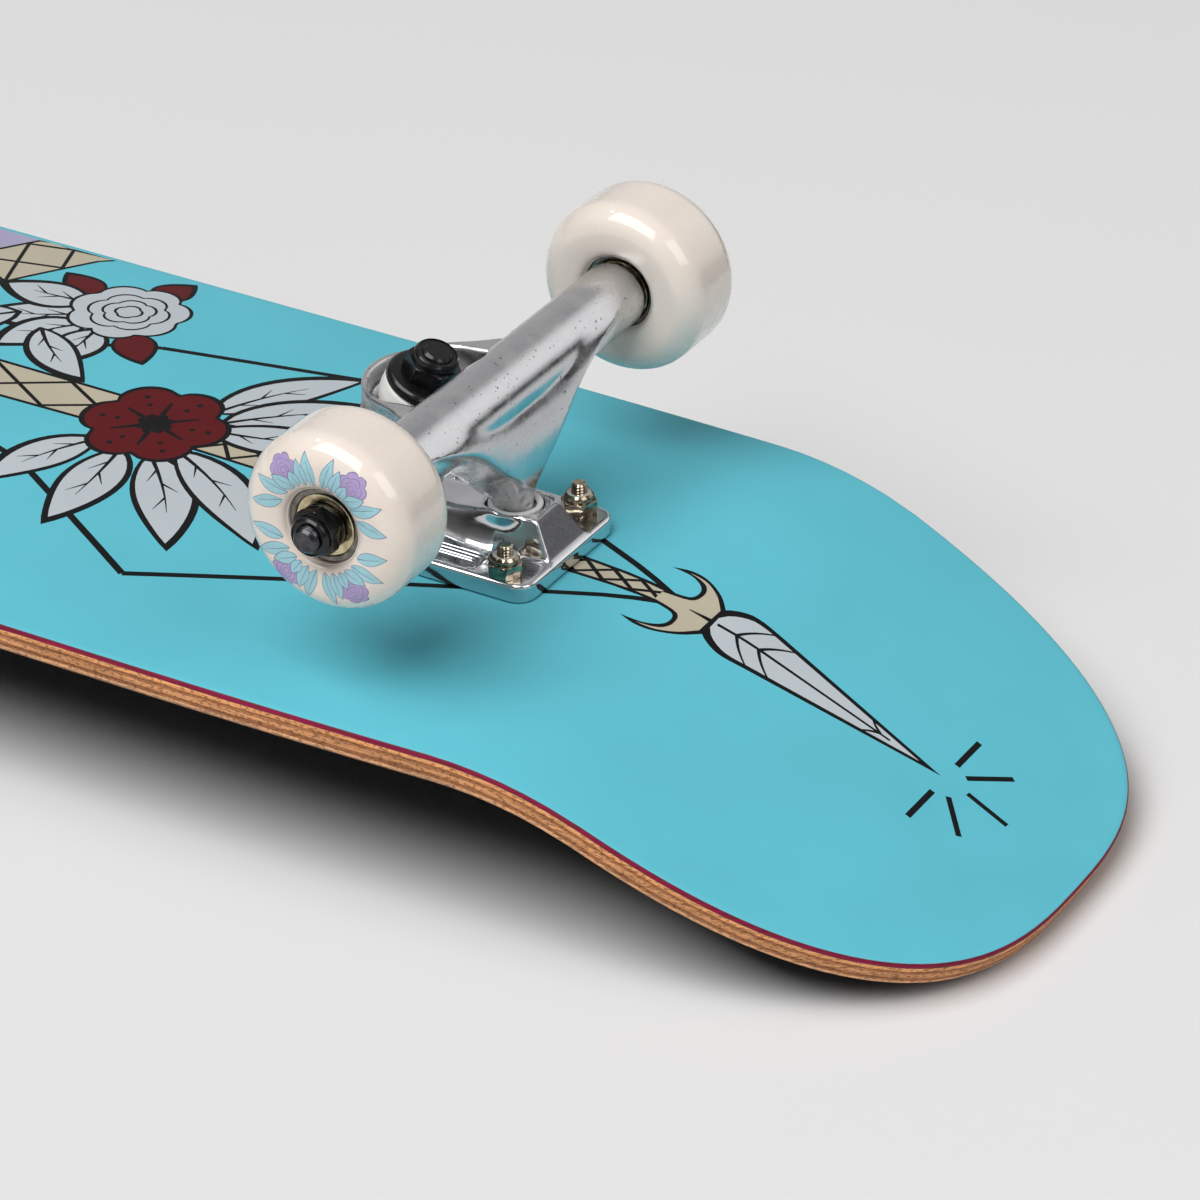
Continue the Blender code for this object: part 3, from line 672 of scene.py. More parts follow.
def red_flower(art, centre=(94, 11), phase=0.2, lobes=6):
    for base, tip, width, bend in (((106, 26), (131, 66), 7.3, 0.10), ((112, 22), (148, 52), 7.5, 0.08),
                                   ((112, 16), (156, 30), 7.3, -0.06), ((84, -6), (70, -40), 7.3, -0.1),
                                   ((94, -8), (98, -50), 8.1, 0.06), ((104, -6), (136, -46), 8.1, 0.08),
                                   ((110, 0), (158, -34), 7.7, 0.10)):
        art.veined_leaf(base, tip, width, bend, 2.0)
    art.blossom("red", centre, 23.8, 22.0, lobes, 0.24, phase)
    for k in range(lobes):
        lobe = phase + 2 * math.pi * k / lobes
        between = lobe + math.pi / lobes
        art.add("black", stroke(polar(centre, 5.0, between), polar(centre, 13.5, between), 0.9, 0.4),
                disc(polar(centre, 12.0, lobe), 0.9, 10), disc(polar(centre, 17.0, lobe), 1.0, 10))
    art.add("black", blossom(centre, 6.0, 8, 0.35))


def white_flower(art, centre=(45, 69)):
    for base, tip, width in (((46, 82), (50, 96), 6.0), ((54, 56), (68, 42), 6.0), ((30, 74), (14, 82), 5.5)):
        art.leaf("red", base, tip, width)
    for base, tip, width, bend in (((34, 60), (8, 46), 7.7, 0.1), ((38, 54), (24, 30), 7.7, -0.08),
                                   ((30, 68), (2, 66), 7.7, 0.05), ((44, 52), (46, 30), 6.7, 0.05),
                                   ((16, 50), (-8, 30), 7.7, 0.1), ((30, 44), (58, 24), 6.2, -0.12)):
        art.veined_leaf(base, tip, width, bend, 1.9)
    art.blossom("pale", centre, 20.0, 18.8, 7, 0.16, 0.5)
    for reach, lobes, phase in ((13.5, 6, 0.2), (9.0, 5, 0.7), (4.8, 4, 0.1)):
        art.blossom("pale", centre, reach, reach - 0.9, lobes, 0.18, phase)


def deck_art():
    """The print on the tail half, in millimetres on the deck's plan."""
    art = Print()
    for part in (strips, horned_leaf, red_flower, white_flower):
        part(art)
    return art


# ---------------------------------------------------------------- deck

def kick_profile(x):
    """Height and slope of the graphic face's centre line at x."""
    run = abs(x) - (HALF_LENGTH - KICK_START)
    side = math.copysign(1, x)
    if run <= 0:
        return FACE, 0.0
    if run < BEND_LENGTH:
        angle = math.asin(run / KICK_RADIUS)
        return FACE - KICK_RADIUS * (1 - math.cos(angle)), -side * math.tan(angle)
    drop = BEND_DROP + (run - BEND_LENGTH) * math.tan(KICK_ANGLE)
    return FACE - drop, -side * math.tan(KICK_ANGLE)


def concave(x, y):
    rise = max(0.0, (abs(y) - CONCAVE_FLAT) / (DECK_WIDTH / 2 - CONCAVE_FLAT))
    fade = max(0.0, 1 - (HALF_LENGTH - abs(x)) / KICK_START)
    return CONCAVE_DROP * (1 - CONCAVE_FADE * fade) * rise ** CONCAVE_POWER


def half_width(x):
    from_tip = max(0.0, HALF_LENGTH - abs(x))
    end = min(1.0, max(0.0, 1 - from_tip / END_CURVE_LENGTH))
    waist = 1 - WAIST * (max(0.0, WAIST_START - from_tip) / WAIST_SPAN) ** 2
    return DECK_WIDTH / 2 * waist * (1 - end ** END_CURVE_ALONG) ** (1 / END_CURVE_ACROSS)


def deck_point(x, y, depth):
    height, slope = kick_profile(x)
    normal = Vector((-slope, 0, 1)).normalized()
    return Vector((x, y, height - concave(x, y))) - depth * normal


def deck_outline(end_steps=34, rail_steps=40):
    curve = [HALF_LENGTH - END_CURVE_LENGTH * (1 - math.sin(math.pi / 2 * i / end_steps) ** 0.8)
             for i in range(end_steps + 1)]
    rail = [curve[0] * i / rail_steps for i in range(rail_steps)]
    quarter = [(x, half_width(x)) for x in rail + curve]
    quarter[-1] = (HALF_LENGTH, 0.0)
    upper = quarter[::-1] + [(-x, y) for x, y in quarter[1:]]
    return upper + [(x, -y) for x, y in upper[-2:0:-1]]


def inset(outline, distance):
    points = []
    count = len(outline)
    for i, (x, y) in enumerate(outline):
        along = (Vector(outline[(i + 1) % count]) - Vector(outline[i - 1])).normalized()
        points.append((x - along.y * distance, y + along.x * distance))
    return points


def covered(points, shape):
    """Which of the points lie inside a closed outline."""
    hit = np.zeros(len(points), bool)
    corners = np.array([tuple(p) for p in shape])
    low, high = corners.min(0), corners.max(0)
    near = np.where(((points >= low) & (points <= high)).all(1))[0]
    x, y = points[near].T
    odd = np.zeros(len(near), bool)
    for (ax, ay), (bx, by) in zip(corners, np.roll(corners, -1, 0)):
        if ay != by:
            odd ^= ((ay > y) != (by > y)) & (x < ax + (bx - ax) * (y - ay) / (by - ay))
    hit[near] = odd
    return hit


def partition(plan, borders, holes, art):
    """Triangles inside the first border and outside the holes, cut along every shape of the art.

    Returns the points, their sources in plan, the triangles and the art colour on top of each.
    """
    plan, edges = list(plan), []
    for loop in borders:
        edges += list(zip(loop, loop[1:] + loop[:1]))
    for shape, _ in art:
        start = len(plan)
        plan += shape
        loop = list(range(start, len(plan)))
        edges += list(zip(loop, loop[1:] + loop[:1]))
    points, _, tris, origins, _, _ = delaunay_2d_cdt(plan, edges, [], 0, 1e-4)
    flat = np.array([tuple(p) for p in points])
    tris = np.array(tris)
    centres = flat[tris].mean(1)
    keep = covered(centres, [plan[i] for i in borders[0]])
    for index in holes:
        keep &= ~covered(centres, [plan[i] for i in borders[index]])
    colours = np.full(len(tris), -1)
    for number, (shape, _) in enumerate(art):
        colours[covered(centres, shape)] = number
    names = ["base" if c < 0 else art[c][1] for c in colours[keep]]
    return points, origins, tris[keep].tolist(), names


def within(shape, distance):
    """The outline of a print, its long edges split and its points kept clear of the rim."""
    clean = []
    for p, q in zip(shape, shape[1:] + shape[:1]):
        pieces = max(1, int((q - p).length / 8))
        clean += [p + (q - p) * i / pieces for i in range(pieces)]
    limits = [half_width(p.x) - distance - 0.35 for p in clean]
    return [Vector((p.x, max(-m, min(m, p.y)))) for p, m in zip(clean, limits)]


def plan_grid(distance, spacing):
    """A grid of plan points that keeps clear of the rim."""
    out = []
    columns, rows = int(2 * HALF_LENGTH / spacing), int(DECK_WIDTH / spacing)
    for i in range(1, columns):
        x = -HALF_LENGTH + 2 * HALF_LENGTH * i / columns
        limit = half_width(x) - distance - spacing * 0.6
        for j in range(1, rows):
            y = -DECK_WIDTH / 2 + DECK_WIDTH * j / rows
            if abs(y) < limit and HALF_LENGTH - abs(x) > distance + spacing * 0.6:
                out.append(Vector((x, y)))
    return out


def plate(name, rings, spacing, hole_radius, groups, art=()):
    """A curved plate with holes for the bolts, its rounded edge given by rings of (inset, depth).

    Its two faces are filled over a grid; art colours the upper one, and groups maps colours to materials.
    """
    outline = deck_outline()
    count = len(outline)
    verts, polys, mats, depths = [], [], [], []
    names = list(groups)

    def vertex(x, y, depth):
        verts.append(deck_point(x, y, depth) * MM)
        depths.append(depth)
        return len(verts) - 1

    loops = [inset(outline, distance) for distance, _ in rings]
    rows = [[vertex(x, y, depth) for x, y in loop] for loop, (_, depth) in zip(loops, rings)]
    for upper, lower in zip(rows, rows[1:]):
        for i in range(count):
            j = (i + 1) % count
            polys.append((upper[i], lower[i], lower[j], upper[j]))
            mats.append(names.index("side"))
    for row, up in ((0, True), (-1, False)):
        distance, depth = rings[row]
        plan = [Vector(p) for p in loops[row]]
        borders = [list(range(count))]
        for _, _, x, y in BOLTS:
            start = len(plan)
            plan += [Vector((x, y)) + p for p in disc((0, 0), hole_radius, 24)]
            borders.append(list(range(start, len(plan))))
        shapes = [(within(shape, distance), colour) for shape, colour in (art if up else ())]
        plan += plan_grid(distance, spacing)
        points, origins, tris, tops = partition(plan, borders, range(1, len(borders)), shapes)
        ids = []
        for point, source in zip(points, origins):
            rim_ids = [i for i in source if i < count]
            ids.append(rows[row][rim_ids[0]] if rim_ids else vertex(point[0], point[1], depth))
        for tri, top in zip(tris, tops):
            corners = [ids[i] for i in tri]
            if len(set(corners)) == 3:
                polys.append(tuple(corners if up else reversed(corners)))
                mats.append(names.index(top if up and art else "under"))
    mesh = bpy.data.meshes.new(name)
    mesh.from_pydata([tuple(v) for v in verts], [], polys)
    for key in names:
        mesh.materials.append(groups[key])
    mesh.polygons.foreach_set("material_index", mats)
    layer = mesh.attributes.new("depth", "FLOAT", "POINT")
    layer.data.foreach_set("value", depths)
    mesh.shade_smooth()
    mesh.validate()
    return mesh


def build_deck():
    rings = [(TOP_ROUND, 0.0)]
    for i in range(1, 6):
        angle = math.pi / 2 * i / 6
        rings.append((TOP_ROUND * (1 - math.sin(angle)) * 0.5, 1.1 * (1 - math.cos(angle))))
    high, low = 1.2, DECK_THICKNESS - BOTTOM_ROUND
    rings += [(0.0, high + (low - high) * i / 4) for i in range(5)]
    for i in range(1, 8):
        angle = math.pi / 2 * i / 7
        rings.append((BOTTOM_ROUND * (1 - math.cos(angle)), low + BOTTOM_ROUND * math.sin(angle)))
    art = deck_art()
    art += [([Vector((-p.x, -p.y)) for p in shape], colour) for shape, colour in deck_art()]
    mesh = plate("deck_printed", rings, 6.5, BOLT_HOLE, {**INK, "side": PLY, "under": PLY}, art)
    put("deck_printed", mesh, Matrix(), "board", ("deck",))
    rings = [(GRIP_INSET, DECK_THICKNESS + 0.05), (GRIP_INSET, DECK_THICKNESS + 0.4),
             (GRIP_INSET + 0.1, GRIP_DEPTH)]
    mesh = plate("grip_sheet", rings, 7.0, HEAD_HOLE, {"side": GRIT, "under": GRIT})
    put("grip_sheet", mesh, Matrix(), "board", ("grip_tape",))
    sink, rim = 3.4 - GRIP_DEPTH, 0.3 - GRIP_DEPTH
    wall = [(BOLT_HOLE, 0.0), (BOLT_HOLE, sink), (HEAD_HOLE, rim), (HEAD_HOLE + 0.2, rim),
            (BOLT_HOLE + 0.25, sink), (BOLT_HOLE + 0.25, -0.05)]
    for truck, number, x, y in BOLTS:
        tube = lathe("deck_bore", wall, PLY, 24)
        put(f"deck_bore_{truck}_{number}", tube, at(x, y, FACE - concave(x, y)), "board")


# ---------------------------------------------------------------- cast shapes from distance fields

def smin(a, b, k):
    h = np.clip(0.5 + 0.5 * (b - a) / k, 0, 1)
    return b * (1 - h) + a * h - k * h * (1 - h)


def smax(a, b, k):
    return -smin(-a, -b, k)


def cut(body, tool, k):
    return smax(body, -tool, k)


def net(name, field, low, high, step, mat):
    """Mesh the zero surface of field: one vertex in each cell that it crosses, then moved onto it."""
    axes = [np.arange(a, b + step, step) for a, b in zip(low, high)]
    value = field(*np.meshgrid(*axes, indexing="ij"))
    shape = tuple(n - 1 for n in value.shape)
    inside = value < 0
    units = np.eye(3, dtype=int)
    corners = [(i, j, k) for i in (0, 1) for j in (0, 1) for k in (0, 1)]
    filled = np.zeros(shape, int)
    for i, j, k in corners:
        filled += inside[i:i + shape[0], j:j + shape[1], k:k + shape[2]]
    mixed = (filled > 0) & (filled < 8)
    index = np.full(shape, -1)
    cells = np.argwhere(mixed)
    index[mixed] = np.arange(len(cells))
    total, number = np.zeros((len(cells), 3)), np.zeros(len(cells))
    for axis, unit in enumerate(units):
        for corner in corners:
            if corner[axis]:
                continue
            a = cells + corner
            va, vb = value[tuple(a.T)], value[tuple((a + unit).T)]
            cross = (va < 0) != (vb < 0)
            share = np.where(cross, va / np.where(cross, va - vb, 1), 0)
            total += np.where(cross[:, None], np.array(corner) + share[:, None] * unit, 0)
            number += cross
    points = np.array([a[0] for a in axes]) + (cells + total / number[:, None]) * step
    quads = []
    for axis, unit in enumerate(units):
        u, v = units[(axis + 1) % 3], units[(axis + 2) % 3]
        first = inside[tuple(slice(0, n - d) for n, d in zip(inside.shape, unit))]
        last = inside[tuple(slice(d, None) for d in unit)]
        change = np.argwhere(first != last)
        keep = np.all((change - u - v >= 0) | (unit == 1), axis=1)
        keep &= np.all(change < np.array(shape), axis=1)
        change = change[keep]
        quad = np.stack([index[tuple((change - back).T)] for back in (u + v, v, 0 * u, u)], 1)
        flip = ~first[tuple(change.T)]
        quad[flip] = quad[flip][:, ::-1]
        quads.append(quad[(quad >= 0).all(1)])
    tiny = step * 0.05
    for _ in range(3):
        here = field(*points.T)
        slope = np.stack([(field(*(points + tiny * e).T) - field(*(points - tiny * e).T)) / (2 * tiny)
                          for e in np.eye(3)], 1)
        size = np.maximum((slope ** 2).sum(1), 0.05)
        move = -(here / size)[:, None] * slope
        length = np.linalg.norm(move, axis=1, keepdims=True)
        points += move * np.minimum(1, 0.5 * step / np.maximum(length, 1e-9))
    mesh = bpy.data.meshes.new(name)
    mesh.from_pydata(points * MM, [], np.concatenate(quads).tolist())
    mesh.materials.append(mat)
    mesh.validate()
    mesh.shade_smooth()
    return mesh


def along_axis(x, y, z, foot_x, foot_z, lean):
    """Distance along an axis that leans from Z towards X, and radius from it."""
    sine, cosine = math.sin(lean), math.cos(lean)
    dx, dz = x - foot_x, z - foot_z
    return dx * sine + dz * cosine, np.hypot(dx * cosine - dz * sine, y)


def along_kingpin(x, y, z):
    """Distance from the baseplate along the kingpin, and radius from it."""
    return along_axis(x, y, z, KINGPIN_FOOT_X, PLATE_THICKNESS, KINGPIN_LEAN)


def along_pivot(x, y, z):
    """Distance out of the pivot cup's mouth, and radius from its axis."""
    return along_axis(x, y, z, PIVOT_MOUTH[0], PIVOT_MOUTH[2], -PIVOT_TILT)


def blend_curves(a, b, share):
    t = np.clip(share, 0, 1)
    return a + (b - a) * t * t * (3 - 2 * t)


def curve(value, keys, levels):
    """A smooth curve through levels at the given keys."""
    keys, levels = np.array(keys, float), np.array(levels, float)
    slopes = np.gradient(levels, keys)
    fine = np.linspace(keys[0], keys[-1], 600)
    left = np.clip(np.searchsorted(keys, fine, "right") - 1, 0, len(keys) - 2)
    span = keys[left + 1] - keys[left]
    t = (fine - keys[left]) / span
    drawn = ((2 * t ** 3 - 3 * t ** 2 + 1) * levels[left] + (t ** 3 - 2 * t ** 2 + t) * span * slopes[left]
             + (3 * t ** 2 - 2 * t ** 3) * levels[left + 1] + (t ** 3 - t ** 2) * span * slopes[left + 1])
    return np.interp(value, fine, drawn)


def bowl(x, side, deep, reach, back, centre, fall_side, fall_back):
    """An outline, round at the back and open to the front, that closes in with depth."""
    wide = np.maximum(reach - deep * fall_side, 3)
    long = np.maximum(back - deep * fall_back, 3)
    return (np.hypot(np.minimum(x - centre, 0) / long, side / wide) - 1) * np.minimum(wide, long)


def hanger_web(x, side, z):
    """The gusset under the barrel: two curved faces, narrowing downwards to the pivot."""
    middle = curve(z, [14, 18, 22, 26, 30, 34, 38, 42, 46, 49, 52, 55],
                   [8.4, 9.1, 10.3, 11.4, 11.9, 11.9, 11.5, 10.8, 9.9, 8.7, 6.4, 2.5])
    wing = curve(z, [14, 18, 22, 26, 30, 34, 38, 42, 46, 49, 52, 54.5, 57, 60],
                 [8.4, 9.1, 10.3, 11.4, 12.1, 12.5, 12.6, 12.5, 12.2, 11.9, 11.3, 10.4, 8.4, 4.0])
    out = blend_curves(middle, wing, (side - 4) / 34)
    back = curve(z, [14, 20, 30, 38, 46, 60], [0.6, 1.6, 2.0, 1.2, -0.6, -2.0])
    outer = curve(z, [14, 18, 22, 26, 29.3, 33, 37, 41, 45, 48, 50.5, 53, 55.5, 58],
                  [4.7, 4.9, 5.4, 7.0, 9.8, 14.2, 18.6, 22.8, 27.6, 32.2, 37.5, 44, 53, 64])
    inner = curve(z, [14, 17.7, 20.5, 23.4, 27, 30.9, 35, 39.4, 43, 46, 49, 52],
                  [5.0, 6.6, 9.6, 13.0, 17.2, 21.6, 26.0, 31.0, 36.5, 43.5, 53, 64])
    share = np.clip((out - x) / np.maximum(out - back, 0.1), 0, 1)
    width = outer + (inner - outer) * share
    web = smax(smax(x - out, back - x, 1.2), (side - width) * 0.60, 1.6)
    web = smax(web, side - 57, 5.0)
    web = smax(web, 15.5 - z, 1.0)
    return smax(web, z - 58.5, 1.0)


def hanger_field(x, y, z):
    side = np.abs(y)
    from_axle = np.hypot(x, z - AXLE_HEIGHT)
    axis, spread = along_kingpin(x, y, z)
    out, radius = along_pivot(x, y, z)
    neck = smax(radius - np.interp(out, [-9, -7.6, -4.6, 6, 17], [1.6, 3.3, 4.5, 4.9, 5.8]), out - 16, 2.0)
    neck = smax(neck, -8.8 - out, 1.0)
    ring = smax(spread - 14.4 - np.clip(axis - RING_LOW, 0, 12) * 0.2, axis - RING_HIGH, 1.4)
    ring = smax(ring, RING_LOW - axis, 1.6)
    top = 49.3 + (x + 30) * 0.11
    deep = np.maximum(top - z, 0)
    reach = 24.0 + 0.5 * (np.maximum(x + 24, 0) ** 2 + 9) ** 0.5
    yoke = smax(bowl(x, side, deep, reach, 30.0, -12.0, 0.68, 0.22), z - top, 1.6)
    yoke = smax(yoke, (33.2 + (x + 30) * 0.50 - z) * 0.894, 2.5)
    yoke = smin(ring, smax(yoke, x - 1, 1.0), 2.0)
    body = smin(from_axle - BARREL_RADIUS, yoke, 4.0)
    hollow = bowl(x, side, deep, 19.2, 15.9, -24.0, 0.36, 0.10)
    hollow = smax(hollow, RING_FLOOR - axis, 0.8)
    hollow = cut(hollow, from_axle - BARREL_RADIUS - 0.6, 3.0)
    body = cut(body, hollow, 1.2)
    body = smin(smin(body, hanger_web(x, side, z), 0.8), neck, 2.2)
    body = cut(body, spread - 7.6, 0.4)
    body = cut(body, smax(spread - 13.2, RING_FLOOR - axis, 0.3), 0.5)
    body = smax(body, side - BARREL_HALF, 0.9)
    return cut(body, from_axle - AXLE_HOLE, 0.3)


def box_field(x, y, x0, x1, half, corner):
    dx = np.abs(x - (x0 + x1) / 2) - ((x1 - x0) / 2 - corner)
    dy = np.abs(y) - (half - corner)
    return np.hypot(np.maximum(dx, 0), np.maximum(dy, 0)) + np.minimum(np.maximum(dx, dy), 0) - corner


def baseplate_field(x, y, z):
    side = np.abs(y)
    flange = smax(box_field(x, y, -54.5, 24.2, 26.0, 6.0), z - PLATE_THICKNESS, 1.3)
    for step_in, floor in ((0.0, 4.9), (1.7, 4.0)):
        groove = smax(np.abs(x + 12.5) - (17.5 - step_in), np.abs(side - 19.4) - (4.4 - step_in), 3.0)
        flange = cut(flange, smax(groove, floor - z, 0.5), 0.5)
    front = x * FRONT_SLOPE[0] + z * FRONT_SLOPE[2] - FRONT_REACH
    top_half = np.interp(x, [-14, -4, 5, 15.5, 24], [5.5, 8.0, 9.0, 6.2, 4.8])
    drop = np.clip(1 - (z - 5.6) / 10.6, 0, 1)
    skirt = blend_curves(6.0 * drop ** 2.3, 5.4 * drop, (x - 5) / 11)
    flank = (side - top_half - skirt) * 0.85
    block = smax(smax(front, flank, 0.7), smax(z - 16.2, 4.6 - z, 0.3), 0.8)
    block = smax(block, -(x + 14) * 0.60 + (z - 8) * 0.80, 4.0)
    body = smin(flange, block, 1.4)
    lip = np.hypot(x - PIVOT_LIP_X, y)
    collar = smax(smax(lip - 8.8, z - 16.6, 0.5), 10 - z, 0.5)
    body = smin(body, collar, 1.2)
    axis, spread = along_kingpin(x, y, z)
    boss = smax(spread - 14.2 - (BOSS_HIGH - axis) * 0.25, axis - BOSS_HIGH, 0.8)
    boss = smax(boss, -6 - axis, 1.0)
    body = smin(body, boss, 5.0)
    rib = smax((side - 7.5) * 0.95 + (z - 12) * 0.3, z - 13.6, 2.0)
    rib = smax(smax(rib, -36 - x, 2.0), x - 2, 2.0)
    body = smin(body, rib, 5.0)
    body = cut(body, smax(spread - 15.2, BOSS_HIGH - axis, 0.3), 0.5)
    body = cut(body, spread - 5.0, 0.3)
    body = cut(body, smax(spread - 7.5, axis - 2.6, 0.2), 0.3)
    cup_out, cup_radius = along_pivot(x, y, z)
    pocket = smax(cup_radius - np.interp(cup_out, [-11.3, -4.0, 9], [6.4, 7.8, 7.8]), -11.3 - cup_out, 0.2)
    body = cut(body, smax(pocket, cup_out - 9, 0.2), 0.4)
    body = cut(body, smax(lip - 8.1, 15.2 - z, 0.2), 0.3)
    for row in (1, -1):
        hole = np.hypot(x - PATTERN_X - row * BOLT_HALF_X, side - BOLT_HALF_Y)
        body = cut(body, hole - BOLT_HOLE, 0.4)
    return smax(body, 0.3 - z, 0.5)


# ---------------------------------------------------------------- hardware

def rim_points(radius_at, height, steps):
    """A ring of points about Z, its radius given for each angle."""
    out = []
    for angle in (2 * math.pi * i / steps for i in range(steps)):
        radius = radius_at(angle)
        out.append((radius * math.cos(angle), radius * math.sin(angle), height))
    return out


def skin(rows, steps):
    """Faces between rings of points that follow each other."""
    return [(j * steps + i, j * steps + k, (j + 1) * steps + k, (j + 1) * steps + i)
            for j in range(rows - 1) for i, k in ((i, (i + 1) % steps) for i in range(steps))]


def hex_turned(name, across_flats, rows, bore, mat, steps=72):
    """A bored hexagon about Z: rows of (height, largest radius), so that cones chamfer its corners."""
    points = []
    for height, limit in rows:
        points += rim_points(lambda angle: min(
            across_flats / 2 / math.cos((angle % (math.pi / 3)) - math.pi / 6), limit), height, steps)
    faces = skin(len(rows), steps)
    top, start = (len(rows) - 1) * steps, len(points)
    for height, _ in (rows[0], rows[-1]):
        points += rim_points(lambda angle: bore, height, steps)
    for i in range(steps):
        k = (i + 1) % steps
        low, low_next, high, high_next = start + i, start + k, start + steps + i, start + steps + k
        faces += [(low, low_next, k, i), (top + i, top + k, high_next, high),
                  (low_next, low, high, high_next)]
    return point_mesh(name, points, faces, mat, 28)


def nut_meshes(name, across, height, bore, mat, ring_mat):
    """A lock nut: chamfered hexagon, rolled collar and the nylon ring inside it."""
    half = across / 2
    corner = half / math.cos(math.pi / 6)
    hex_top = height * 0.66
    chamfer = corner - half
    rows = [(0.0, corner - chamfer * 0.95)]
    rows += [(0.35 * i / 4, corner - chamfer * 0.95 * (1 - i / 4) ** 1.4) for i in range(1, 5)]
    rows += [(hex_top - 0.55 + 0.55 * i / 4, corner - chamfer * (i / 4) ** 1.6) for i in range(5)]
    wide, lip, hole = half * 0.93, bore + 1.3, bore - 0.15
    return (hex_turned(name + "_hexagon", across, rows, bore, mat),
            lathe(name + "_collar",
                  [(wide - 0.2, hex_top - 0.3), (wide, hex_top + 0.3), (wide, height - 0.9),
                   (wide - 0.8, height), (lip, height - 0.05), (lip, height - 0.45), (lip, hex_top - 0.3)],
                  mat, 48, corner=0.35),
            lathe(name + "_ring",
                  [(lip + 0.2, height - 0.35), (lip + 0.2, hex_top), (hole, hex_top), (hole, height - 0.35)],
                  ring_mat, 40, corner=0.15))


def put_nut(name, place, parts, matrix, body, node):
    """The parts of a lock nut; the hexagon stands for the whole nut of the CAD model."""
    for part, mesh, nodes in zip(("", "_collar", "_ring"), parts, ((node,), (), ())):
        put(f"{name}{part}_{place}", mesh, matrix, body, nodes)


def threaded(name, radius, depth, pitch, low, high, mat, chamfer, steps):
    """A threaded rod end: a helical V groove that fades out at its chamfered tip."""
    points = []
    rows = max(8, int((high - low) / pitch * 8))
    for j in range(rows + 1):
        height = low + (high - low) * j / rows
        tip = max(0.0, 1 - (high - height) / chamfer)
        for i in range(steps):
            angle = 2 * math.pi * i / steps
            phase = (height / pitch - i / steps) % 1.0
            groove = depth * (1 - abs(2 * phase - 1))
            reach = min(radius - groove, radius - tip * chamfer)
            points.append((reach * math.cos(angle), reach * math.sin(angle), height))
    top, centre = rows * steps, len(points)
    faces = skin(rows + 1, steps) + [(top + i, top + (i + 1) % steps, centre) for i in range(steps)]
    faces += [((i + 1) % steps, i, centre + 1) for i in range(steps)]
    return point_mesh(name, points + [(0, 0, high), (0, 0, low)], faces, mat, 25)


def screw_head(name, mat):
    """A flush countersunk head with a cross recess, facing down."""
    head = lathe(name, [(0, 3.3), (2.3, 3.3), (2.35, 2.9), (4.45, 0.25), (4.7, 0.05), (4.5, 0.0), (0, 0.0)],
                 mat, 48)
    bm = bmesh.new()
    made = bmesh.ops.create_cube(bm, size=1.0)["verts"]
    bmesh.ops.scale(bm, vec=(5.0 * MM, 1.05 * MM, 3.2 * MM), verts=made)
    for vert in made:
        if vert.co.z > 0:
            vert.co.x *= 0.35
    recess = mesh_from(bm, name + "_slot")
    return cut_mesh(head, [(recess, Matrix.Rotation(turn, 4, "Z")) for turn in (0, math.pi / 2)])


def cut_mesh(mesh, cutters):
    target = new_object("target", mesh)
    made = [target]
    for cutter_mesh, place in cutters:
        cutter = new_object("cutter", cutter_mesh)
        cutter.matrix_world = place
        boolean = target.modifiers.new("cut", "BOOLEAN")
        boolean.operation = "DIFFERENCE"
        boolean.solver = "EXACT"
        boolean.object = cutter
        made.append(cutter)
    bpy.context.view_layer.update()
    result = bpy.data.meshes.new_from_object(target.evaluated_get(bpy.context.evaluated_depsgraph_get()))
    result.name = mesh.name
    for obj in made:
        bpy.data.objects.remove(obj)
    result.materials.clear()
    result.materials.append(mesh.materials[0])
    return result


def build_mounting():
    shaft = threaded("bolt_shaft", 2.35, 0.38, 0.95, 2.6, 26.1, NICKEL, 0.6, 24)
    head = screw_head("bolt_head", NICKEL)
    nut = nut_meshes("bolt_nut", 9.5, 6.3, 2.35, NICKEL, NYLON)
    for truck, number, x, y in BOLTS:
        end = f"{truck}_{number}"
        foot = at(x, y, FACE - GRIP_DEPTH) @ Matrix.Rotation(0.7 * number, 4, "Z")
        put(f"bolt_shaft_{end}", shaft, foot, "board", (f"mounting_bolt_{end}",))
        put(f"bolt_head_{end}", head, foot, "board")
        seat = at(x, y, FACE + PLATE_THICKNESS + 0.02) @ Matrix.Rotation(0.35 + 0.9 * number, 4, "Z")
        put_nut("bolt_nut", end, nut, seat, "board", f"mounting_nut_{end}")


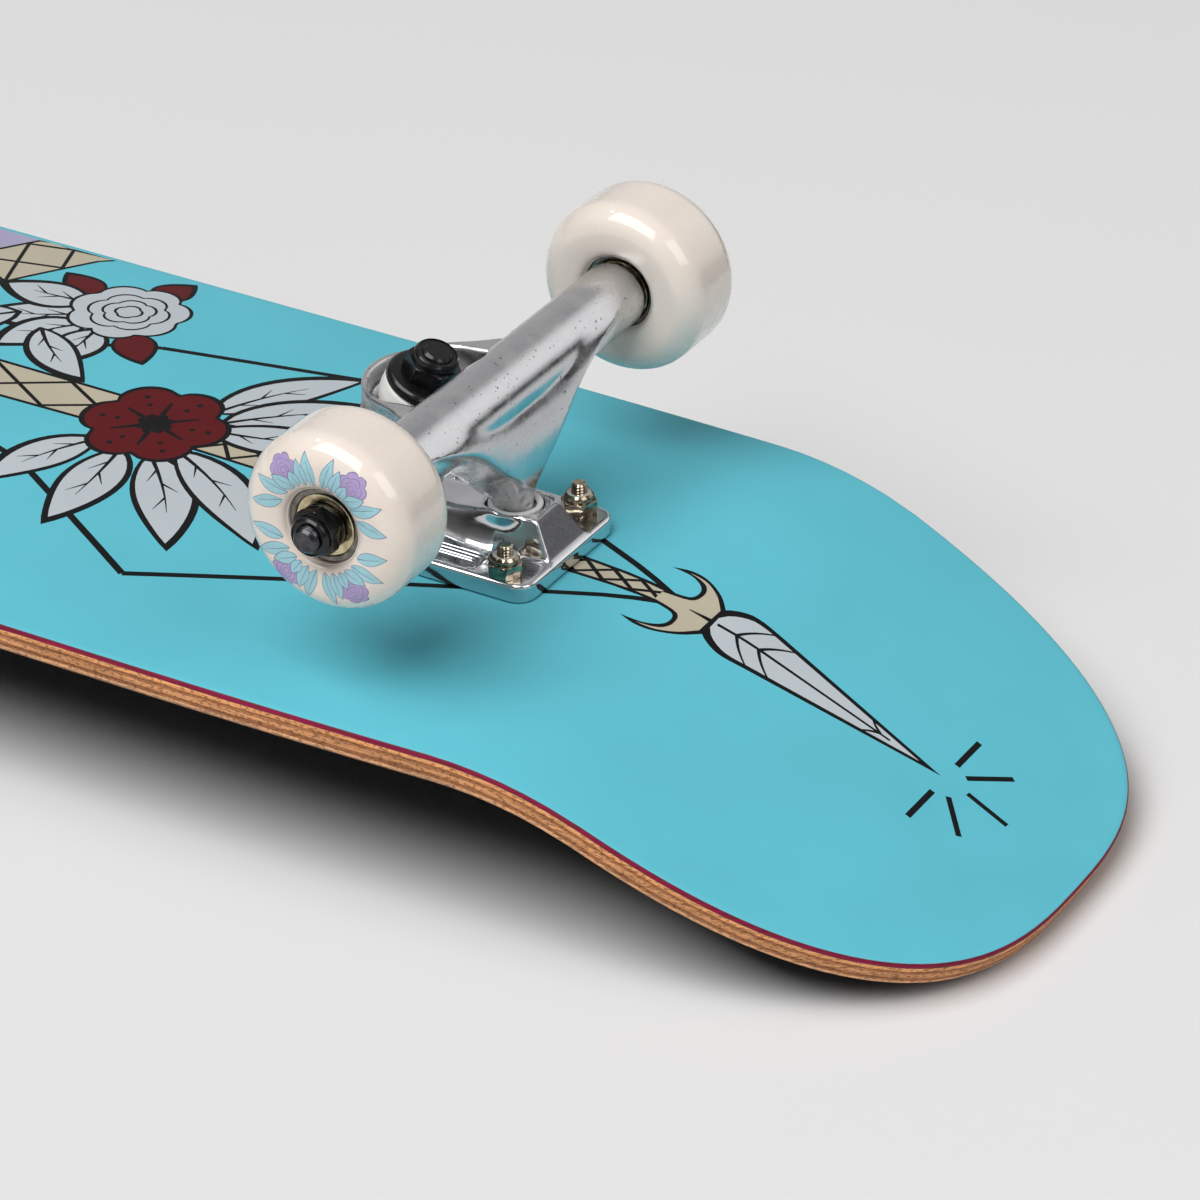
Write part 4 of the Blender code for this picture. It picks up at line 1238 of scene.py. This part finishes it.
def build_stack(truck):
    """The kingpin with its washers, bushings and nut."""
    place = truck_place(truck) @ kingpin_place()
    shank = lathe("kingpin_shank", [(0, 47), (KINGPIN_RADIUS, 47), (KINGPIN_RADIUS, 2.3), (7.1, 2.3),
                                    (7.1, -2.3), (6.6, -2.8), (0, -2.8)], BLACK, 40, corner=0.3)
    thread = threaded("kingpin_thread", KINGPIN_RADIUS, 0.4, 1.25, 44.0, 56.3, BLACK, 1.0, 40)
    cup = lathe("washer_bottom", [(5.0, 10.6), (12.9, 10.6), (13.6, 11.4), (13.6, 13.7), (12.6, 13.7),
                                  (12.4, 12.1), (5.0, 12.1)], BLACK, corner=0.45)
    dome = lathe("washer_top", [(5.0, 45.5), (10.6, 45.5), (10.9, 43.9), (11.9, 43.9), (11.9, 45.7),
                                (10.9, 46.9), (8.4, 47.3), (5.0, 47.3)], BLACK, corner=0.6, bends=4)
    for name, mesh, nodes in (("kingpin_shank", shank, (f"kingpin_{truck}",)), ("kingpin_thread", thread, ()),
                              ("washer_bottom", cup, (f"bottom_washer_{truck}",)),
                              ("washer_top", dome, (f"top_washer_{truck}",))):
        put(f"{name}_{truck}", mesh, place, "board", nodes)
    nut = nut_meshes("kingpin_nut", 14.2, 8.2, KINGPIN_RADIUS, BLACK, BLACK)
    seat = place @ at(0, 0, KINGPIN_NUT_SEAT) @ Matrix.Rotation(0.35, 4, "Z")
    put_nut("king_nut", truck, nut, seat, "board", f"kingpin_nut_{truck}")
    lower = [(4.9, 12.2), (12.2, 12.2), (12.5, 15.0), (12.3, 19.5), (11.2, 24.0), (9.9, 27.1), (4.9, 27.1)]
    upper = [(4.9, 33.7), (9.9, 33.7), (11.6, 36.0), (12.1, 39.5), (11.8, 43.0), (10.3, 43.9), (10.2, 45.4),
             (4.9, 45.4)]
    for part, profile, corner, fixed, moving in (("bottom", lower, 0.9, 12.2, 27.1),
                                                 ("top", upper, 0.8, 45.4, 33.7)):
        name = f"bushing_{part}_{truck}"
        obj = new_object(name, lathe(name, profile, WHITE, corner=corner, bends=4))
        obj.matrix_world = place
        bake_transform(obj)
        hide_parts(f"{part}_bushing_{truck}")


def build_trucks():
    hanger = net("hanger_cast", hanger_field, (-48.2, -67.2, 4.2), (15.2, 67.6, 66.2), 0.8, CAST)
    base = net("baseplate_cast", baseplate_field, (-55.6, -27.1, -0.6), (25.6, 27.5, 22.4), 0.6, POLISHED)
    cup = lathe("pivot_cup", [(0, -9.6), (4.0, -9.0), (5.5, -6.6), (5.6, -4.6), (6.1, -4.6), (6.1, -11.0),
                              (0, -11.1)], WHITE, 56, corner=0.3)
    lip = lathe("pivot_lip", [(6.0, 15.3), (8.0, 15.3), (8.0, 16.5), (7.4, 16.8), (6.6, 16.7), (6.0, 16.1)],
                WHITE, 56, corner=0.35, bends=4)
    bar = lathe("axle_bar", [(0, 93), (AXLE_RADIUS, 93), (AXLE_RADIUS, -93), (0, -93)], STEEL, 40, corner=0.2)
    tip = threaded("axle_thread", AXLE_RADIUS, 0.35, 1.06, 92.0, AXLE_HALF, STEEL, 1.0, 36)
    for truck in TRUCKS:
        place = truck_place(truck)
        put(f"baseplate_cast_{truck}", base, place, "board", (f"baseplate_{truck}",))
        put(f"pivot_seat_{truck}", cup, place @ pivot_place(), "board",
            (f"pivot_cup_{truck}",))
        put(f"pivot_lip_{truck}", lip, place @ at(PIVOT_LIP_X, 0, 0), "board")
        put(f"hanger_cast_{truck}", hanger, place, f"truck_{truck}", (f"hanger_{truck}",))
        across = place @ at(0, 0, AXLE_HEIGHT) @ Matrix.Rotation(math.pi / 2, 4, "X")
        put(f"axle_bar_{truck}", bar, across, f"truck_{truck}", (f"axle_{truck}",))
        for side, sign in SIDES:
            put(f"axle_thread_{truck}_{side}", tip, outward(truck, sign, 0), f"truck_{truck}")
        build_stack(truck)


# ---------------------------------------------------------------- wheels

def wheel_section():
    """Half section as (radius, distance outward), from the bearing's seat over the rim to the tread."""
    half, pocket = WHEEL_HALF, 11.1
    return smooth_curve([
        (pocket, BEARING_LOW), (pocket, half - 3.4), (11.5, half - 2.6), (12.3, half - 1.5),
        (13.6, half - 0.8), (15.5, half - 0.45), (18.4, half - 0.35), (20.6, half - 0.65), (22.6, half - 1.6),
        (24.4, half - 3.2), (25.7, half - 5.2), (26.3, half - 6.8), (26.47, half - 8.3),
        (WHEEL_RADIUS, half - 9.6)], 4)


def wheel_art():
    """Small leaves and round flowers in two sprays, in millimetres on the wheel's face."""
    art = Print()
    leaves = ((0.10, 0.20, 22.6, 1.75), (0.30, 0.34, 20.8, 1.7), (0.86, 1.04, 22.4, 1.9),
              (0.62, 0.84, 19.4, 1.8), (0.48, 0.52, 18.0, 1.6), (1.12, 1.40, 21.4, 1.9))
    for turn in (math.radians(90), math.radians(270)):
        rotate = Matrix.Rotation(turn, 2)
        for sign in (1, -1):
            centre = rotate @ polar((0, 0), 18.9, sign * 0.60)
            art.blossom("lilac", centre, 4.75, 4.5, 7, 0.2, turn, "line")
            for reach, lobes in ((3.2, 5), (1.9, 4), (0.9, 3)):
                art.blossom("lilac", centre, reach + 0.16, reach, lobes, 0.25, turn + reach, "line")
            for start, end, reach, width in leaves:
                base = rotate @ polar((0, 0), 13.3, sign * start)
                tip = rotate @ polar((0, 0), reach, sign * end)
                art.leaf("blue", base, tip, width, 0.05 * sign, 0.17, "line", 12)
                art.add("line", stroke(base, base + (tip - base) * 0.8, 0.10, 0.05))
    return art


def wheel_mesh():
    """The turned wheel, with the band of its face that carries the print cut out and filled again."""
    section = wheel_section()
    whole = section + [(r, -d) for r, d in section[::-1]] + [(8.6, -BEARING_LOW), (8.6, BEARING_LOW)]
    bm = bmesh.new()
    bm.from_mesh(lathe("wheel_blank", whole, WHEEL_INK["base"], 144, sharp=50))

    def height(r):
        for (r0, d0), (r1, d1) in zip(section[4:], section[5:]):
            if r0 <= r <= r1 and r1 > r0:
                return d0 + (d1 - d0) * (r - r0) / (r1 - r0)
        return section[4][1]

    gone = []
    for face in bm.faces:
        centre = face.calc_center_median() / MM
        radius = math.hypot(centre.x, centre.y)
        if centre.z > 0 and face.normal.z > 0.25 and WHEEL_PRINT_INNER < radius < WHEEL_PRINT_OUTER:
            gone.append(face)
    bmesh.ops.delete(bm, geom=gone, context="FACES")
    rims = {}
    for vert in {v for e in bm.edges if e.is_boundary for v in e.verts}:
        radius = round(math.hypot(vert.co.x, vert.co.y) / MM, 3)
        rims.setdefault(radius, []).append(vert)
    inner, outer = min(rims), max(rims)
    plan, sources, borders = [], [], []
    for radius in (outer, inner):
        loop = sorted(rims[radius], key=lambda v: math.atan2(v.co.y, v.co.x))
        borders.append(list(range(len(plan), len(plan) + len(loop))))
        plan += [Vector((v.co.x / MM, v.co.y / MM)) for v in loop]
        sources += loop
    for k in range(1, 12):
        radius = inner + (outer - inner) * k / 12
        plan += [polar((0, 0), radius, 2 * math.pi * (i + 0.5 * (k % 2)) / 96) for i in range(96)]
    shapes = []
    for shape, colour in wheel_art():
        reach = [max(inner + 0.15, min(outer - 0.15, p.length)) for p in shape]
        shapes.append(([p.normalized() * r for p, r in zip(shape, reach)], colour))
    points, origins, tris, tops = partition(plan, borders, [1], shapes)
    verts = []
    for point, source in zip(points, origins):
        kept = [i for i in source if i < len(sources)]
        if kept:
            verts.append(sources[kept[0]])
        else:
            depth = height(math.hypot(point[0], point[1]))
            verts.append(bm.verts.new((point[0] * MM, point[1] * MM, depth * MM)))
    order = list(WHEEL_INK)
    for tri, top in zip(tris, tops):
        corners = [verts[i] for i in tri]
        if len(set(corners)) == 3:
            bm.faces.new(corners).material_index = order.index(top)
    mesh = mesh_from(bm, "wheel_printed")
    for colour in order[:-1]:
        mesh.materials.append(WHEEL_INK[colour])
    return shaded(mesh, WHEEL_INK[order[-1]], 50)


def bearing_parts():
    """Outer race, shield and inner race about Z, with the shield's side up."""
    low, high = BEARING_LOW, BEARING_HIGH
    outer = lathe("bearing_race_outer", [(11.0, low), (11.0, high), (9.35, high), (9.35, high - 0.55),
                                         (9.1, high - 0.6), (9.1, low)], RACE, 72, corner=0.3)
    shield = lathe("bearing_shield", [(9.4, high - 0.50), (8.9, high - 0.30), (6.6, high - 0.30),
                                      (6.15, high - 0.55), (6.15, high - 0.8), (9.4, high - 0.8)],
                   SHIELD, 72, corner=0.15)
    inner = lathe("bearing_race_inner", [(6.05, low), (6.05, high), (4.05, high), (4.05, low)],
                  RACE, 56, corner=0.3)
    return outer, shield, inner


def build_wheels():
    wheel = wheel_mesh()
    outer, shield, inner = bearing_parts()
    spacer = lathe("wheel_spacer", [(6.4, -5.0), (6.4, 5.0), (4.1, 5.0), (4.1, -5.0)], STEEL, 40, corner=0.3)
    low, high = BEARING_HIGH + 0.05, AXLE_NUT_SEAT - 0.05
    ring = lathe("speed_ring", [(6.9, low), (6.9, high), (4.1, high), (4.1, low)], BLACK, 48, corner=0.3)
    nut = nut_meshes("axle_nut", 12.7, 6.8, AXLE_RADIUS, BLACK, BLACK)
    for truck in TRUCKS:
        for side, sign in SIDES:
            end = f"{truck}_{side}"
            wheels, axle = f"wheels_{end}", f"truck_{truck}"
            hub = outward(truck, sign, WHEEL_MID)
            turned = wheel.copy()
            turned.transform(Matrix.Rotation(math.radians(WHEEL_TURN[end]), 4, "Z"))
            put(f"wheel_cast_{end}", turned, hub, wheels, (f"wheel_{end}",))
            back = hub @ Matrix.Rotation(math.pi, 4, "X")
            for name, node, place in (("out", "bearing_outer", hub), ("in", "bearing_inner", back)):
                put(f"race_{name}_{end}", outer, place, wheels, (f"{node}_{end}",))
                put(f"shield_{name}_{end}", shield, place, wheels)
                put(f"race_core_{name}_{end}", inner, place, axle)
                put(f"speed_ring_{name}_{end}", ring, place, axle)
            put(f"wheel_spacer_{end}", spacer, hub, axle, (f"bearing_spacer_{end}",))
            seat = hub @ at(0, 0, AXLE_NUT_SEAT) @ Matrix.Rotation(0.4, 4, "Z")
            put_nut("end_nut", end, nut, seat, axle, f"axle_nut_{end}")


# ---------------------------------------------------------------- studio

def area_light(name, place, target, size, power):
    light = bpy.data.lights.new(name, "AREA")
    light.shape = "RECTANGLE"
    light.size, light.size_y = size
    light.energy = power
    obj = new_object(name, light)
    obj.location = Vector(place)
    obj.rotation_euler = (Vector(target) - Vector(place)).to_track_quat("-Z", "Y").to_euler()


def build_floor():
    shader = Shader("studio_floor", (0.77, 0.77, 0.77), 1.0, Specular_IOR_Level=0.0)
    shader.tint(shader.noise(400.0), (0.3, (0.765, 0.765, 0.765)), (0.7, (0.775, 0.775, 0.775)))
    bm = bmesh.new()
    bmesh.ops.create_grid(bm, x_segments=8, y_segments=8, size=9.0)
    mesh = mesh_from(bm, "studio_floor")
    mesh.materials.append(shader.mat)
    floor = new_object("studio_floor", mesh)
    floor.location = (0, 0, -0.0002)


def build_flag():
    """A low black card beside the board, seen only in reflections."""
    shader = Shader("studio_flag", (0.012, 0.012, 0.013), 1.0, Specular_IOR_Level=0.0)
    half, high = 0.5, 0.125
    mesh = bpy.data.meshes.new("studio_flag")
    mesh.from_pydata([(-half, 0, 0), (half, 0, 0), (half, 0, high), (-half, 0, high)], [], [(0, 1, 2, 3)])
    mesh.materials.append(shader.mat)
    flag = new_object("studio_flag", mesh)
    flag.location = (0.55, 0.42, 0.0)
    flag.rotation_euler = (0, 0, math.radians(-40))
    flag.visible_camera = flag.visible_diffuse = flag.visible_shadow = False


def build_sky():
    """A softbox overhead for diffuse light, and a pale room with a bright patch for reflections."""
    world = bpy.data.worlds.new("studio")
    world.use_nodes = True
    sky = Nodes(world.node_tree)
    back = sky.tree.nodes["Background"]
    back.inputs["Strength"].default_value = 1.0
    where = sky.node("ShaderNodeTexCoord").outputs["Generated"]

    def levels(source, *stops):
        return sky.ramp(source, [(position, (level, level, level * 1.01)) for position, level in stops])

    height = sky.along(where, (0.0, 0.0, 1.0))
    overhead = sky.along(where, (0.0, -0.35, 0.937))
    dome = levels(overhead, (0.0, 0.005), (0.76, 0.008), (0.88, 0.32), (0.95, 0.46), (1.0, 0.46))
    front = levels(height, (0.0, 0.02), (0.18, 0.06), (0.45, 0.16), (0.70, 0.42), (1.0, 0.36))
    wall = levels(height, (0.0, 0.42), (0.14, 0.50), (0.55, 0.46), (0.75, 0.42), (1.0, 0.36))
    turn = sky.remap(sky.along(where, (0.0, 1.0, 0.0)), 0.1, 0.6, 0.0, 1.0, "SMOOTHSTEP")
    glow = sky.remap(sky.along(where, (0.499, 0.766, 0.407)), 0.86, 0.99, 0.0, 0.62, "SMOOTHSTEP")
    room = sky.mix(1.0, sky.mix(turn, front, wall), glow, "ADD")
    glossy = sky.node("ShaderNodeLightPath").outputs["Is Glossy Ray"]
    sky.link(sky.mix(glossy, dome, room), back.inputs["Color"])
    bpy.context.scene.world = world


def build_studio():
    build_floor()
    build_flag()
    build_sky()
    area_light("key", (-0.90, -3.36, 6.27), (0.15, 0.9, 0.0), (6.6, 4.5), 497)
    area_light("spot", (-1.4, -0.2, 2.4), (0.2, 0.0, 0.05), (0.28, 0.20), 1.7)
    area_light("fill", (3.0, -0.6, 2.4), (0.3, 0.0, 0.1), (2.0, 2.0), 35)
    view = bpy.context.scene.view_settings
    view.view_transform = "Standard"
    view.look = "None"


def build_camera():
    """A long lens above and beside the tail."""
    target = Vector((AXLE_X["tail"] + 34.68, -2.64, FACE - 6)) * MM
    distance = 1.58123
    azimuth, elevation, roll = math.radians(30.05), math.radians(30.55), math.radians(0.13)
    back = Vector((math.sin(azimuth) * math.cos(elevation), -math.cos(azimuth) * math.cos(elevation),
                   math.sin(elevation)))
    camera = bpy.data.cameras.new("camera")
    camera.sensor_width = 36.0
    camera.lens = 167.2722
    camera.clip_start, camera.clip_end = 0.05, 30.0
    obj = new_object("camera", camera)
    look = back.to_track_quat("Z", "Y").to_matrix().to_4x4()
    obj.matrix_world = Matrix.Translation(target + back * distance) @ look @ Matrix.Rotation(roll, 4, "Z")
    bpy.context.scene.camera = obj


build_camera()
build_studio()
build_deck()
build_mounting()
build_trucks()
build_wheels()
